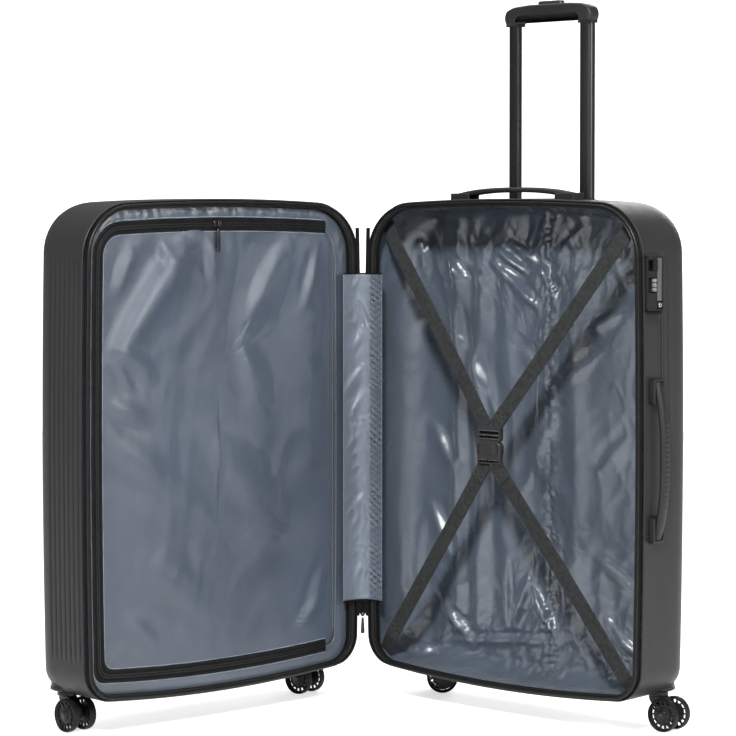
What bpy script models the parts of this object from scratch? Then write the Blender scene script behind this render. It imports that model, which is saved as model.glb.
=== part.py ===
"""Hard-shell suitcase on four swivel casters, standing open like a book with its trolley handle drawn out.

Each half is laid out on its own axes: u runs from the book hinge across the mouth, v runs from the
closing plane into the shell, z is up. HALF_SIGN and HALF_FRAME turn those into world metres.
"""

import math

import bmesh
import bpy
from mathutils import Matrix, Vector

# How the case stands
HALF_ANGLE = math.radians(42.0)  # each half is swung this far from lying flat
SHIFT = Vector((-0.0054, 0.1360, 0.0))  # brings the middle of the footprint over the origin

# Shell, the same for both halves
WIDTH = 0.531
Z_LOW = 0.0425
Z_HIGH = 0.7805
HINGE_GAP = 0.002  # from the hinge line to the shell
RIM_V = 0.010  # from the closing plane to the shell rim
BACK_V = 0.145  # from the closing plane to the outside of the back
CORNER_TOP = 0.075
CORNER_LOW = 0.043
BOW_TOP = 0.0100  # how far the top edge bulges
BOW_LOW = 0.0140  # how far the bottom edge bulges
BOW_SIDE = 0.0052  # how far the side edges bulge
EDGE_SIDE = 0.060  # roll of the back edge, measured in from the side
EDGE_TOP = 0.030  # roll of the back edge, measured down from the top
EDGE_DEEP = 0.055  # roll of the back edge, measured forward from the back
WALL = 0.003
CLEAR = 0.0003

# Lining
LINING_IN = 0.006
LINING_WALL = 0.0015
TROLLEY_LINING_BACK = 0.104
LID_LINING_BACK = 0.1385

# Zip bands on the two rims
BAND_OUT = 0.0035
BAND_IN = 0.011
BAND_HINGE = 0.021
BAND_FACE = 0.0006

# Divider of the lid half
SEAM_FAR = 0.0265  # zip line of the divider, in from the far side
SEAM_RISE = 0.0370  # zip line of the divider, in from the top and bottom
SEAM_GAP = 0.00015
PANEL_HINGE = 0.0465
PANEL_THICK = 0.003
TAPE_WIDE = 0.0090
TAPE_THICK = 0.0015
TAPE_END = 0.070
PULL_GAP = 0.0012  # room for a pull to tip under its slider

# Casters
CASTER_NEAR = 0.047
CASTER_FAR = 0.0425
CASTER_V = 0.105
WHEEL_R = 0.0245
WHEEL_WIDE = 0.012
WHEEL_OUT = 0.015
TRAIL = 0.0195
AXLE_R = 0.003
POCKET_R = 0.0258

# Trolley handle
TUBE_SPREAD = 0.069
TUBE_V = 0.1265
TUBE_HALF_A = 0.0105  # half size of the drawn tube, across the case
TUBE_HALF_B = 0.0066  # half size of the drawn tube, front to back
TUBE_SHARP = 0.0025  # corner radius at the outer back and the inner front
TUBE_ROUND = 0.0095  # corner radius at the other two corners
TUBE_WALL = 0.0014
OUTER_WALL = 0.0012
MID_U = HINGE_GAP + WIDTH / 2
TROLLEY_U = MID_U + 0.005
LEG_LOW = 1.034
CUP_HALF = 0.0885
CUP_V0 = 0.1100
CUP_V1 = 0.1430
CUP_LOW = 0.7305

# Lock on the far side wall of the trolley half
LOCK_U0 = 0.5250
LOCK_U1 = 0.5355
LOCK_V = 0.0310
LOCK_HALF = 0.0195
LOCK_Z0 = 0.619
LOCK_Z1 = 0.697
DIAL_R = 0.0045
DIAL_U = 0.5322
DIAL_PITCH = 0.0065
DIAL_Z = 0.656
KEY_V = 0.0440
KEY_Z = 0.627

HALF_SIGN = {"trolley": 1.0, "lid": -1.0}
HALF_FRAME = {
    "trolley": Matrix.Translation(SHIFT) @ Matrix.Rotation(-HALF_ANGLE, 4, "Z"),
    "lid": Matrix.Translation(SHIFT) @ Matrix.Rotation(HALF_ANGLE, 4, "Z"),
}


def clear_scene():
    for obj in list(bpy.data.objects):
        bpy.data.objects.remove(obj, do_unlink=True)


def make_collection(name):
    group = bpy.data.collections.new(name)
    bpy.context.scene.collection.children.link(group)
    return group


def paint(name, colour, rough, metal=0.0):
    """A Principled material in one colour."""
    mat = bpy.data.materials.new(name)
    mat.use_nodes = True
    shader = mat.node_tree.nodes["Principled BSDF"]
    shader.inputs["Base Color"].default_value = (*colour, 1.0)
    shader.inputs["Roughness"].default_value = rough
    shader.inputs["Metallic"].default_value = metal
    return mat


def finish(name, half, bm, pivot, mat, smooth=None, turn=0.0):
    """Turns geometry given in u, v, z into a named object whose origin is at the pivot."""
    sign = HALF_SIGN[half]
    centre = Vector((sign * pivot[0], pivot[1], pivot[2]))
    spin = Matrix.Rotation(turn, 4, "Z")
    place = HALF_FRAME[half] @ Matrix.Translation(centre) @ spin
    back = spin.inverted() @ Matrix.Translation(-centre)
    for vert in bm.verts:
        vert.co = back @ Vector((sign * vert.co.x, vert.co.y, vert.co.z))
    bmesh.ops.remove_doubles(bm, verts=bm.verts, dist=1e-6)
    bmesh.ops.recalc_face_normals(bm, faces=bm.faces)
    mesh = bpy.data.meshes.new(name)
    bm.to_mesh(mesh)
    bm.free()
    if smooth is not None:
        mesh.shade_smooth()
        mesh.set_sharp_from_angle(angle=math.radians(smooth))
    obj = bpy.data.objects.new(name, mesh)
    if mat is None:
        CUTTERS.objects.link(obj)
        obj.hide_render = True
        obj.display_type = "WIRE"
    else:
        mesh.materials.append(mat)
        CASE.objects.link(obj)
    obj.matrix_world = place
    return obj


def boolean(obj, other, operation="DIFFERENCE"):
    mod = obj.modifiers.new(operation.lower() + "_" + other.name, "BOOLEAN")
    mod.solver = "EXACT"
    mod.operation = operation
    mod.object = other


def bevel(obj, width, segments=2, angle=40.0):
    mod = obj.modifiers.new("soft_edges", "BEVEL")
    mod.width = width
    mod.segments = segments
    mod.limit_method = "ANGLE"
    mod.angle_limit = math.radians(angle)


def outline(hinge, far, rise, corner_steps=6, side_steps=4):
    """Mouth outline (u, z), drawn in by `hinge`, `far` and `rise`; anticlockwise from the far side."""
    u0 = HINGE_GAP + BOW_SIDE
    u1 = HINGE_GAP + WIDTH - BOW_SIDE
    z0 = Z_LOW + BOW_LOW
    z1 = Z_HIGH - BOW_TOP
    mid_u, mid_z = (u0 + u1) / 2, (z0 + z1) / 2
    half_u, half_z = (u1 - u0) / 2, (z1 - z0) / 2
    draw_in = max(min(hinge, far), rise)
    r_top = max(CORNER_TOP - draw_in, 0.014)
    r_low = max(CORNER_LOW - draw_in, 0.014)
    lo_u, hi_u, lo_z, hi_z = u0 + hinge, u1 - far, z0 + rise, z1 - rise
    corners = (
        (hi_u - r_top, hi_z - r_top, r_top, 0.0),
        (lo_u + r_top, hi_z - r_top, r_top, 90.0),
        (lo_u + r_low, lo_z + r_low, r_low, 180.0),
        (hi_u - r_low, lo_z + r_low, r_low, 270.0),
    )
    arcs = []
    for cu, cz, r, start in corners:
        arc = []
        for i in range(corner_steps + 1):
            t = math.radians(start + 90.0 * i / corner_steps)
            arc.append((cu + r * math.cos(t), cz + r * math.sin(t)))
        arcs.append(arc)
    points = []
    for k, arc in enumerate(arcs):
        points += arc
        a, b = arc[-1], arcs[(k + 1) % 4][0]
        for i in range(1, side_steps):
            f = i / side_steps
            points.append((a[0] + (b[0] - a[0]) * f, a[1] + (b[1] - a[1]) * f))
    bowed = []
    for u, z in points:
        x, y = (u - mid_u) / half_u, (z - mid_z) / half_z
        bow = BOW_TOP if y > 0 else BOW_LOW
        bowed.append((u + BOW_SIDE * x * (1 - y * y), z + bow * y * (1 - x * x)))
    return bowed


def add_ring(bm, points, v):
    return [bm.verts.new((u, v, z)) for u, z in points]


def bridge(bm, a, b, closed=True):
    n = len(a)
    for i in range(n if closed else n - 1):
        j = (i + 1) % n
        bm.faces.new((a[i], a[j], b[j], b[i]))


def tub(outer, inner):
    """A dished solid. Each list holds (hinge, far, rise, v) from the mouth to the back."""
    bm = bmesh.new()
    out = [add_ring(bm, outline(h, f, r), v) for h, f, r, v in outer]
    inn = [add_ring(bm, outline(h, f, r), v) for h, f, r, v in inner]
    for rings in (out, inn):
        for a, b in zip(rings, rings[1:]):
            bridge(bm, a, b)
        bm.faces.new(rings[-1])
    bridge(bm, out[0], inn[0])
    return bm


def rolled_profile(draw_in, back, steps=5):
    """Side wall, rolled back edge and flat back of a tub whose walls lie `draw_in` inside the shell."""
    deep = EDGE_DEEP - draw_in
    rows = []
    for i in range(steps + 1):
        t = math.pi / 2 * i / steps
        side = draw_in + (EDGE_SIDE - draw_in) * (1 - math.cos(t))
        rise = draw_in + (EDGE_TOP - draw_in) * (1 - math.cos(t))
        rows.append((side, side, rise, back - deep + deep * math.sin(t)))
    return rows


def flat_ring(out, inn, v0, v1):
    """A flat frame between two outlines, from v0 to v1."""
    bm = bmesh.new()
    rings = [
        add_ring(bm, outline(*out), v0),
        add_ring(bm, outline(*out), v1),
        add_ring(bm, outline(*inn), v1),
        add_ring(bm, outline(*inn), v0),
    ]
    for k in range(4):
        bridge(bm, rings[k], rings[(k + 1) % 4])
    return bm


def box(bm, u, v, z):
    """A box from three (low, high) pairs."""
    size = Vector((u[1] - u[0], v[1] - v[0], z[1] - z[0]))
    mid = Vector((u[0] + u[1], v[0] + v[1], z[0] + z[1])) / 2
    matrix = Matrix.Translation(mid) @ Matrix.Diagonal((*size, 1.0))
    bmesh.ops.create_cube(bm, size=1.0, matrix=matrix)
    return bm


def tube_between(bm, start, end, radius, segments):
    """A plain round bar from one point to another."""
    start, end = Vector(start), Vector(end)
    run = end - start
    turn = run.to_track_quat("Z", "Y").to_matrix().to_4x4()
    matrix = Matrix.Translation((start + end) / 2) @ turn
    bmesh.ops.create_cone(
        bm,
        cap_ends=True,
        segments=segments,
        radius1=radius,
        radius2=radius,
        depth=run.length,
        matrix=matrix,
    )
    return bm


def prism(bm, profile, low, high, place):
    """Extrudes a flat profile; `place` turns (a, b, c) with c along the extrusion into u, v, z."""
    a = [bm.verts.new(place(p, q, low)) for p, q in profile]
    b = [bm.verts.new(place(p, q, high)) for p, q in profile]
    bm.faces.new(a)
    bm.faces.new(b)
    bridge(bm, a, b)
    return bm


def rounded_rect(half_a, half_b, r, steps=3):
    points = []
    for ca, cb, start in ((1, 1, 0), (-1, 1, 90), (-1, -1, 180), (1, -1, 270)):
        for i in range(steps + 1):
            t = math.radians(start + 90 * i / steps)
            points.append((ca * (half_a - r) + r * math.cos(t), cb * (half_b - r) + r * math.sin(t)))
    return points


# Shells and what is fixed to them

def shell(name, half, mat):
    inner = [(WALL, WALL, WALL, RIM_V)] + rolled_profile(WALL, BACK_V - WALL)
    outer = [(0.0, 0.0, 0.0, RIM_V)] + rolled_profile(0.0, BACK_V)
    obj = finish(name, half, tub(outer, inner), (0, 0, 0), mat, smooth=35)
    for k, u in enumerate(caster_columns()):
        cutter = tube_between(bmesh.new(), (u, CASTER_V, 0.0), (u, CASTER_V, 0.0748), POCKET_R, 24)
        boolean(obj, finish(f"{name}_pocket_{k}", half, cutter, (0, 0, 0), None))
    return obj


def caster_columns():
    return (HINGE_GAP + CASTER_NEAR, HINGE_GAP + WIDTH - CASTER_FAR)


def lining(name, half, mat, back, flange):
    v0 = RIM_V + CLEAR
    into = LINING_IN + LINING_WALL
    outer = [(LINING_IN, LINING_IN, LINING_IN, v0)] + rolled_profile(LINING_IN, back)
    inner = rolled_profile(into, back - LINING_WALL)
    if flange:
        v1 = v0 + LINING_WALL
        mouth = (PANEL_HINGE - CLEAR - HINGE_GAP, SEAM_FAR - SEAM_GAP, SEAM_RISE - SEAM_GAP)
        inner = [(*mouth, v0), (*mouth, v1), (into, into, into, v1)] + inner
    else:
        inner = [(into, into, into, v0)] + inner
    obj = finish(name, half, tub(outer, inner), (0, 0, 0), mat, smooth=35)
    for k, u in enumerate(caster_columns()):
        cutter = tube_between(bmesh.new(), (u, CASTER_V, 0.0), (u, CASTER_V, 0.0775), 0.0275, 20)
        boolean(obj, finish(f"{name}_pocket_{k}", half, cutter, (0, 0, 0), None))
    return obj


def zip_band(name, half, mat):
    out = (BAND_OUT, BAND_OUT, BAND_OUT)
    inn = (BAND_HINGE, BAND_IN, BAND_IN)
    bm = flat_ring(out, inn, BAND_FACE, RIM_V - CLEAR)
    return finish(name, half, bm, (0, 0, 0), mat, smooth=35)


def square_hole(obj, u, v, z):
    grow = CLEAR
    bm = box(bmesh.new(), (u[0] - grow, u[1] + grow), (v[0] - grow, v[1] + grow), (z[0] - grow, z[1] + grow))
    boolean(obj, finish(f"{obj.name}_hole_{len(obj.modifiers)}", "trolley", bm, (0, 0, 0), None))


# Divider in the lid half

def divider_panel(name, mat):
    v0 = RIM_V + CLEAR
    v1 = v0 + PANEL_THICK
    ring = outline(PANEL_HINGE - HINGE_GAP, SEAM_FAR + SEAM_GAP, SEAM_RISE + SEAM_GAP)
    bm = prism(bmesh.new(), ring, v0, v1, lambda p, q, c: (p, c, q))
    return finish(name, "lid", bm, (PANEL_HINGE, RIM_V, 0.41), mat, smooth=35)


def tape_run(offset):
    """The divider's zip line moved inwards by `offset`, from its upper end to its lower end."""
    far, rise = SEAM_FAR + offset, SEAM_RISE + offset
    ring = outline(far, far, rise)
    first = next(i for i, p in enumerate(ring) if p[0] < TAPE_END)
    ring = ring[first:] + ring[:first]
    kept = [i for i, p in enumerate(ring) if p[0] > TAPE_END]
    before, after = ring[kept[0] - 1], ring[(kept[-1] + 1) % len(ring)]
    run = [ring[i] for i in kept]

    def cut(outside, inside):
        f = (TAPE_END - outside[0]) / (inside[0] - outside[0])
        return (TAPE_END, outside[1] + (inside[1] - outside[1]) * f)

    return [cut(before, run[0])] + run + [cut(after, run[-1])]


def divider_tape(name, offset, pivot, mat):
    v1 = RIM_V
    v0 = v1 - TAPE_THICK
    out, inn = tape_run(offset), tape_run(offset + TAPE_WIDE)
    bm = bmesh.new()
    rows = [add_ring(bm, out, v0), add_ring(bm, out, v1), add_ring(bm, inn, v1), add_ring(bm, inn, v0)]
    for k in range(4):
        bridge(bm, rows[k], rows[(k + 1) % 4], closed=False)
    for end in (0, -1):
        bm.faces.new([row[end] for row in rows])
    return finish(name, "lid", bm, pivot, mat, smooth=35)


def divider_slider(slider_mat, pull_mat):
    u, z, v1 = 0.2856, 0.7433, RIM_V - TAPE_THICK - CLEAR
    bm = box(bmesh.new(), (u - 0.0075, u + 0.0075), (0.0015, v1), (z - 0.0055, z + 0.0055))
    body = finish("divider_slider", "lid", bm, (u, 0.004, z), slider_mat)
    bevel(body, 0.0012)
    low = z - 0.0055 - PULL_GAP
    bm = box(bmesh.new(), (u - 0.004, u + 0.004), (0.003, 0.0052), (low - 0.034, low))
    pull = finish("divider_pull", "lid", bm, (u, 0.0041, low), pull_mat)
    bevel(pull, 0.0008)


# Hinge side

def hinge_gusset(mat):
    """Cloth strip sewn inside both rims; it bows a little towards the open side."""
    low, high, half_wide = 0.153, 0.665, 0.0405
    top = []
    for i in range(13):
        f = -1 + 2 * i / 12
        x = f * half_wide * math.cos(HALF_ANGLE)
        y = -math.sin(HALF_ANGLE) * half_wide * (0.16 + 0.84 * f * f) - 0.0035
        top.append((x, y))
    turned = []
    for x, y in top:
        side = 0.0008
        turned.append((x, y - 2 * side))
    bm = bmesh.new()
    back = [Vector((x, y, 0)) for x, y in top]
    front = [Vector((x, y, 0)) for x, y in turned]
    rows = []
    for line, z in ((back, low), (back, high), (front, high), (front, low)):
        rows.append([bm.verts.new((p.x, p.y, z)) for p in line])
    for k in range(4):
        bridge(bm, rows[k], rows[(k + 1) % 4], closed=False)
    for end in (0, -1):
        bm.faces.new([row[end] for row in rows])
    to_half = HALF_FRAME["trolley"].inverted() @ Matrix.Translation(SHIFT)
    for vert in bm.verts:
        vert.co = to_half @ vert.co
    return finish("hinge_gusset", "trolley", bm, (0, 0, 0.41), mat, smooth=35)


def main_slider(slider_mat, pull_mat):
    """The zip's slider, parked at the lower end of its run, on the hinge line."""
    bm = bmesh.new()
    prism(bm, rounded_rect(0.0034, 0.0033, 0.0012, 2), 0.1262, 0.146, lambda p, q, c: (p, q, c))
    finish("main_zip_slider", "trolley", bm, (0, 0, 0.136), slider_mat, smooth=35, turn=HALF_ANGLE)
    bm = box(bmesh.new(), (-0.0025, 0.0025), (-0.001, 0.001), (0.0995, 0.1262 - PULL_GAP))
    turn = Matrix.Rotation(HALF_ANGLE, 4, "Z")
    for vert in bm.verts:
        vert.co = turn @ vert.co
    pull = finish("main_zip_pull", "trolley", bm, (0, 0, 0.1262 - PULL_GAP), pull_mat, turn=HALF_ANGLE)
    bevel(pull, 0.0006)


# Cross straps

STRAP_V0 = 0.0170
STRAP_THICK = 0.0015
STRAP_WIDE = 0.024
BUCKLE_U = 0.2430
BUCKLE_Z0 = 0.381
BUCKLE_SPLIT = 0.4165
BUCKLE_Z1 = 0.435


def strap(name, start, end, mat):
    a, b = Vector((*start, 0)), Vector((*end, 0))
    run = (b - a).normalized()
    side = Vector((-run.y, run.x, 0)) * STRAP_WIDE / 2
    corners = [a + side, a - side, b - side, b + side]
    profile = [(p.x, p.y) for p in corners]
    bm = prism(bmesh.new(), profile, STRAP_V0, STRAP_V0 + STRAP_THICK, lambda p, q, c: (p, c, q))
    return finish(name, "trolley", bm, (start[0], STRAP_V0, start[1]), mat)


def straps(mat):
    ends = {
        "strap_upper_hinge_side": ((0.049, 0.717), (BUCKLE_U - 0.0065, BUCKLE_Z1 + 0.0085)),
        "strap_upper_far_side": ((0.484, 0.719), (BUCKLE_U + 0.0165, BUCKLE_Z1 + 0.0085)),
        "strap_lower_hinge_side": ((0.045, 0.098), (BUCKLE_U - 0.0165, BUCKLE_Z0 - 0.0085)),
        "strap_lower_far_side": ((0.497, 0.083), (BUCKLE_U + 0.0165, BUCKLE_Z0 - 0.0085)),
    }
    shift = {"strap_upper_hinge_side": -0.0100}
    for name, (start, end) in ends.items():
        strap(name, start, (end[0] + shift.get(name, 0.0), end[1]), mat)


def buckle(mat):
    v = (0.0120, 0.0230)
    mid_v = sum(v) / 2
    half = 0.0235
    bm = box(bmesh.new(), (BUCKLE_U - half, BUCKLE_U + half), v, (BUCKLE_Z0, BUCKLE_SPLIT))
    socket = finish("buckle_socket", "trolley", bm, (BUCKLE_U, mid_v, BUCKLE_Z0), mat)
    mouth = box(
        bmesh.new(),
        (BUCKLE_U - 0.0165, BUCKLE_U + 0.0165),
        (mid_v - 0.003, mid_v + 0.003),
        (BUCKLE_SPLIT - 0.022, BUCKLE_SPLIT + 0.01),
    )
    boolean(socket, finish("buckle_mouth", "trolley", mouth, (0, 0, 0), None))
    bevel(socket, 0.0015)
    head = [
        (-half, BUCKLE_SPLIT + CLEAR),
        (-0.0162, BUCKLE_SPLIT + CLEAR),
        (-0.0162, BUCKLE_SPLIT - 0.020),
        (0.0162, BUCKLE_SPLIT - 0.020),
        (0.0162, BUCKLE_SPLIT + CLEAR),
        (half, BUCKLE_SPLIT + CLEAR),
        (half, BUCKLE_Z1 - 0.004),
        (half - 0.005, BUCKLE_Z1),
        (0.005 - half, BUCKLE_Z1),
        (-half, BUCKLE_Z1 - 0.004),
    ]
    bm = prism(bmesh.new(), head, mid_v - 0.0026, mid_v + 0.0026, lambda p, q, c: (BUCKLE_U + p, c, q))
    plug = finish("buckle_plug", "trolley", bm, (BUCKLE_U, mid_v, BUCKLE_SPLIT), mat)
    bevel(plug, 0.0008)


# Trolley handle

def tube_section(side, grow=0.0):
    """Section of a trolley tube, offset outwards by `grow`. `side` is 1 for the far tube, else -1."""
    a, b = TUBE_HALF_A + grow, TUBE_HALF_B + grow
    points = []
    for ca, cb, start in ((1, 1, 0), (-1, 1, 90), (-1, -1, 180), (1, -1, 270)):
        sharp = ca * cb > 0
        r = (TUBE_SHARP if sharp else TUBE_ROUND) + grow
        steps = 2 if sharp else 5
        for i in range(steps + 1):
            t = math.radians(start + 90 * i / steps)
            points.append((side * (ca * (a - r) + r * math.cos(t)), cb * (b - r) + r * math.sin(t)))
    return points


def tube(name, side, outside, inside, low, high, mat):
    """A tube between two offsets of the section."""
    u = TROLLEY_U + side * TUBE_SPREAD
    bm = bmesh.new()
    rows = []
    for grow, z in ((outside, low), (outside, high), (inside, high), (inside, low)):
        rows.append([bm.verts.new((u + p, TUBE_V + q, z)) for p, q in tube_section(side, grow)])
    for k in range(4):
        bridge(bm, rows[k], rows[(k + 1) % 4])
    return finish(name, "trolley", bm, (u, TUBE_V, high), mat, smooth=35)


def tube_bore(obj, side, low, high):
    """Cuts the way of one tube through an object."""
    u = TROLLEY_U + side * TUBE_SPREAD
    section = tube_section(side, CLEAR)
    bm = prism(bmesh.new(), section, low, high, lambda p, q, c: (u + p, TUBE_V + q, c))
    boolean(obj, finish(f"{obj.name}_bore_{len(obj.modifiers)}", "trolley", bm, (0, 0, 0), None))


def trolley_cup(mat, body):
    """Tray set into the shell top; the grip drops into it and the tubes pass through its floor."""
    side = [
        (CUP_V0, CUP_LOW),
        (CUP_V1, CUP_LOW),
        (CUP_V1, 0.7625),
        (0.1385, 0.7730),
        (0.1285, 0.7785),
        (CUP_V0, 0.7812),
    ]
    low, high = TROLLEY_U - CUP_HALF, TROLLEY_U + CUP_HALF
    bm = prism(bmesh.new(), side, low, high, lambda p, q, c: (c, p, q))
    cup = finish("trolley_cup", "trolley", bm, (TROLLEY_U, TUBE_V, CUP_LOW), mat)
    hollow = box(
        bmesh.new(),
        (low + 0.002, high - 0.002),
        (CUP_V0 + 0.002, CUP_V1 - 0.002),
        (CUP_LOW + 0.0025, 0.80),
    )
    boolean(cup, finish("cup_hollow", "trolley", hollow, (0, 0, 0), None))
    for side in (-1, 1):
        tube_bore(cup, side, 0.72, 0.74)
    square_hole(body, (low, high), (CUP_V0, CUP_V1), (CUP_LOW, 0.80))
    return cup


def trolley_grip(mat, button_mat):
    right = [
        (0.0000, 1.0560),
        (0.0340, 1.0547),
        (0.0520, 1.0500),
        (0.0555, LEG_LOW),
        (0.0835, LEG_LOW),
        (0.0835, 1.0620),
        (0.0785, 1.0705),
        (0.0660, 1.0750),
        (0.0360, 1.0768),
        (0.0000, 1.0775),
    ]
    left = [(-a, b) for a, b in reversed(right[1:-1])]
    front, rear = TUBE_V - 0.013, TUBE_V + 0.013
    bm = prism(bmesh.new(), right + left, front, rear, lambda p, q, c: (TROLLEY_U + p, c, q))
    grip = finish("trolley_grip", "trolley", bm, (TROLLEY_U, TUBE_V, LEG_LOW), mat, smooth=35)
    bevel(grip, 0.004, 2, 50)
    for side in (-1, 1):
        tube_bore(grip, side, 1.02, 1.046)
    across = (TROLLEY_U - 0.0235, TROLLEY_U + 0.0235)
    well = box(bmesh.new(), across, (TUBE_V - 0.0070, TUBE_V + 0.0070), (1.0665, 1.09))
    boolean(grip, finish("button_well", "trolley", well, (0, 0, 0), None))
    across = (TROLLEY_U - 0.0230, TROLLEY_U + 0.0230)
    cap = box(bmesh.new(), across, (TUBE_V - 0.0065, TUBE_V + 0.0065), (1.0715, 1.0820))
    button = finish("release_button", "trolley", cap, (TROLLEY_U, TUBE_V, 1.0715), button_mat)
    bevel(button, 0.002)


def trolley(tube_mat, inner_mat, plastic, body):
    for name, side in (("hinge_side", -1), ("far_side", 1)):
        tube(f"outer_tube_{name}", side, CLEAR + OUTER_WALL, CLEAR, 0.072, CUP_LOW - CLEAR, tube_mat)
        tube(f"inner_tube_{name}", side, 0.0, -TUBE_WALL, 0.415, 1.0457, inner_mat)
    trolley_cup(plastic, body)
    trolley_grip(plastic, plastic)


# Carry handles

def carry_handle(name, body, place, pivot, t0, height, mat, mount_mat):
    """Arched grip in two channel mounts. `place` turns (t along, w across, h outwards) into u, v, z."""
    reach = 0.100
    for k, s in enumerate((-1, 1)):
        near, far = t0 + s * (reach - 0.018), t0 + s * (reach + 0.018)
        lo, hi = min(near, far), max(near, far)
        p0, p1 = place(lo, -0.0135, -0.0030), place(hi, 0.0135, 0.0110)
        pairs = [(min(a, b), max(a, b)) for a, b in zip(p0, p1)]
        mount = finish(f"{name}_mount_{k + 1}", "trolley", box(bmesh.new(), *pairs), pivot, mount_mat)
        inner = (near - s * 0.01, far - s * 0.004)
        q0, q1 = place(min(inner), -0.0093, 0.0010), place(max(inner), 0.0093, 0.02)
        slot = [(min(a, b), max(a, b)) for a, b in zip(q0, q1)]
        boolean(mount, finish(f"{name}_slot_{k}", "trolley", box(bmesh.new(), *slot), (0, 0, 0), None))
        bevel(mount, 0.0012, 1)
        square_hole(body, *pairs)
    end = reach + 0.018 - 0.0045
    path = []
    for i in range(15):
        f = -1 + 2 * i / 14
        path.append((f * end, (1 - abs(f) ** 2.6) * height))
    under = [(t0 + t, 0.0014 + h * 1.0) for t, h in path]
    over = [(t0 + t, 0.0105 + h * 0.88) for t, h in reversed(path)]
    bm = bmesh.new()
    rows = []
    for w, drop in ((-0.009, 0.0), (0.009, 0.0)):
        rows.append([bm.verts.new(place(t, w, h - drop)) for t, h in under + over])
    bm.faces.new(rows[0])
    bm.faces.new(rows[1])
    bridge(bm, rows[0], rows[1])
    grip = finish(f"{name}_grip", "trolley", bm, pivot, mat, smooth=40)
    bevel(grip, 0.002, 2, 50)


def carry_handles(body, mat, mount_mat):
    top = 0.7780
    carry_handle(
        "top_handle",
        body,
        lambda t, w, h: (t, 0.048 + w, top + h),
        (MID_U, 0.048, top),
        MID_U,
        0.0105,
        mat,
        mount_mat,
    )
    side = 0.5322
    carry_handle(
        "side_handle",
        body,
        lambda t, w, h: (side + h, 0.033 + w, t),
        (side, 0.033, 0.404),
        0.404,
        0.0150,
        mat,
        mount_mat,
    )


# Combination lock

def lock(body, case_mat, dial_mat, metal):
    u, v, z = (LOCK_U0, LOCK_U1), (LOCK_V - LOCK_HALF, LOCK_V + LOCK_HALF), (LOCK_Z0, LOCK_Z1)
    bm = box(bmesh.new(), u, v, z)
    housing = finish("lock_housing", "trolley", bm, (LOCK_U0, LOCK_V, LOCK_Z0), case_mat)
    half = 1.5 * DIAL_PITCH + 0.0004
    dials_v = (LOCK_V - 0.0049, LOCK_V + 0.0049)
    slide_v = (LOCK_V - 0.0064, LOCK_V + 0.0064)
    pockets = [
        ("dials", box(bmesh.new(), (0.5273, 0.55), dials_v, (DIAL_Z - half, DIAL_Z + half))),
        ("slide", box(bmesh.new(), (0.5325, 0.55), slide_v, (0.6705, 0.6920))),
        ("key", tube_between(bmesh.new(), (0.5303, KEY_V, KEY_Z), (0.55, KEY_V, KEY_Z), 0.0043, 20)),
    ]
    for name, bm in pockets:
        boolean(housing, finish(f"lock_pocket_{name}", "trolley", bm, (0, 0, 0), None))
    bevel(housing, 0.0012, 1)
    square_hole(body, u, v, z)
    for k in range(3):
        z0 = DIAL_Z + (1 - k) * DIAL_PITCH
        bm = tube_between(bmesh.new(), (DIAL_U, LOCK_V, z0 - 0.003), (DIAL_U, LOCK_V, z0 + 0.003), DIAL_R, 20)
        finish(f"lock_dial_{k + 1}", "trolley", bm, (DIAL_U, LOCK_V, z0), dial_mat, smooth=35)
    bm = box(bmesh.new(), (0.5328, 0.5370), (LOCK_V - 0.006, LOCK_V + 0.006), (0.6770, 0.6915))
    slide = finish("lock_release", "trolley", bm, (0.5328, LOCK_V, 0.6915), case_mat)
    bevel(slide, 0.0010, 1)
    bm = tube_between(bmesh.new(), (0.5306, KEY_V, KEY_Z), (0.5358, KEY_V, KEY_Z), 0.0040, 20)
    finish("lock_key_barrel", "trolley", bm, (0.5306, KEY_V, KEY_Z), metal, smooth=35)


# Casters

def wheel(bm, centre_w):
    """A wheel turned about the axle, which runs along y at the origin."""
    half = WHEEL_WIDE / 2
    segments = 22
    tread = WHEEL_R / math.cos(math.pi / segments)
    profile = (
        (AXLE_R + 0.0003, -half),
        (WHEEL_R - 0.0020, -half),
        (tread, -half + 0.0025),
        (tread, half - 0.0025),
        (WHEEL_R - 0.0020, half),
        (AXLE_R + 0.0003, half),
    )
    rows = []
    for i in range(segments):
        t = 2 * math.pi * i / segments
        rows.append([bm.verts.new((r * math.cos(t), centre_w + w, r * math.sin(t))) for r, w in profile])
    for i in range(segments):
        bridge(bm, rows[i], rows[(i + 1) % segments])
    return bm


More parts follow.
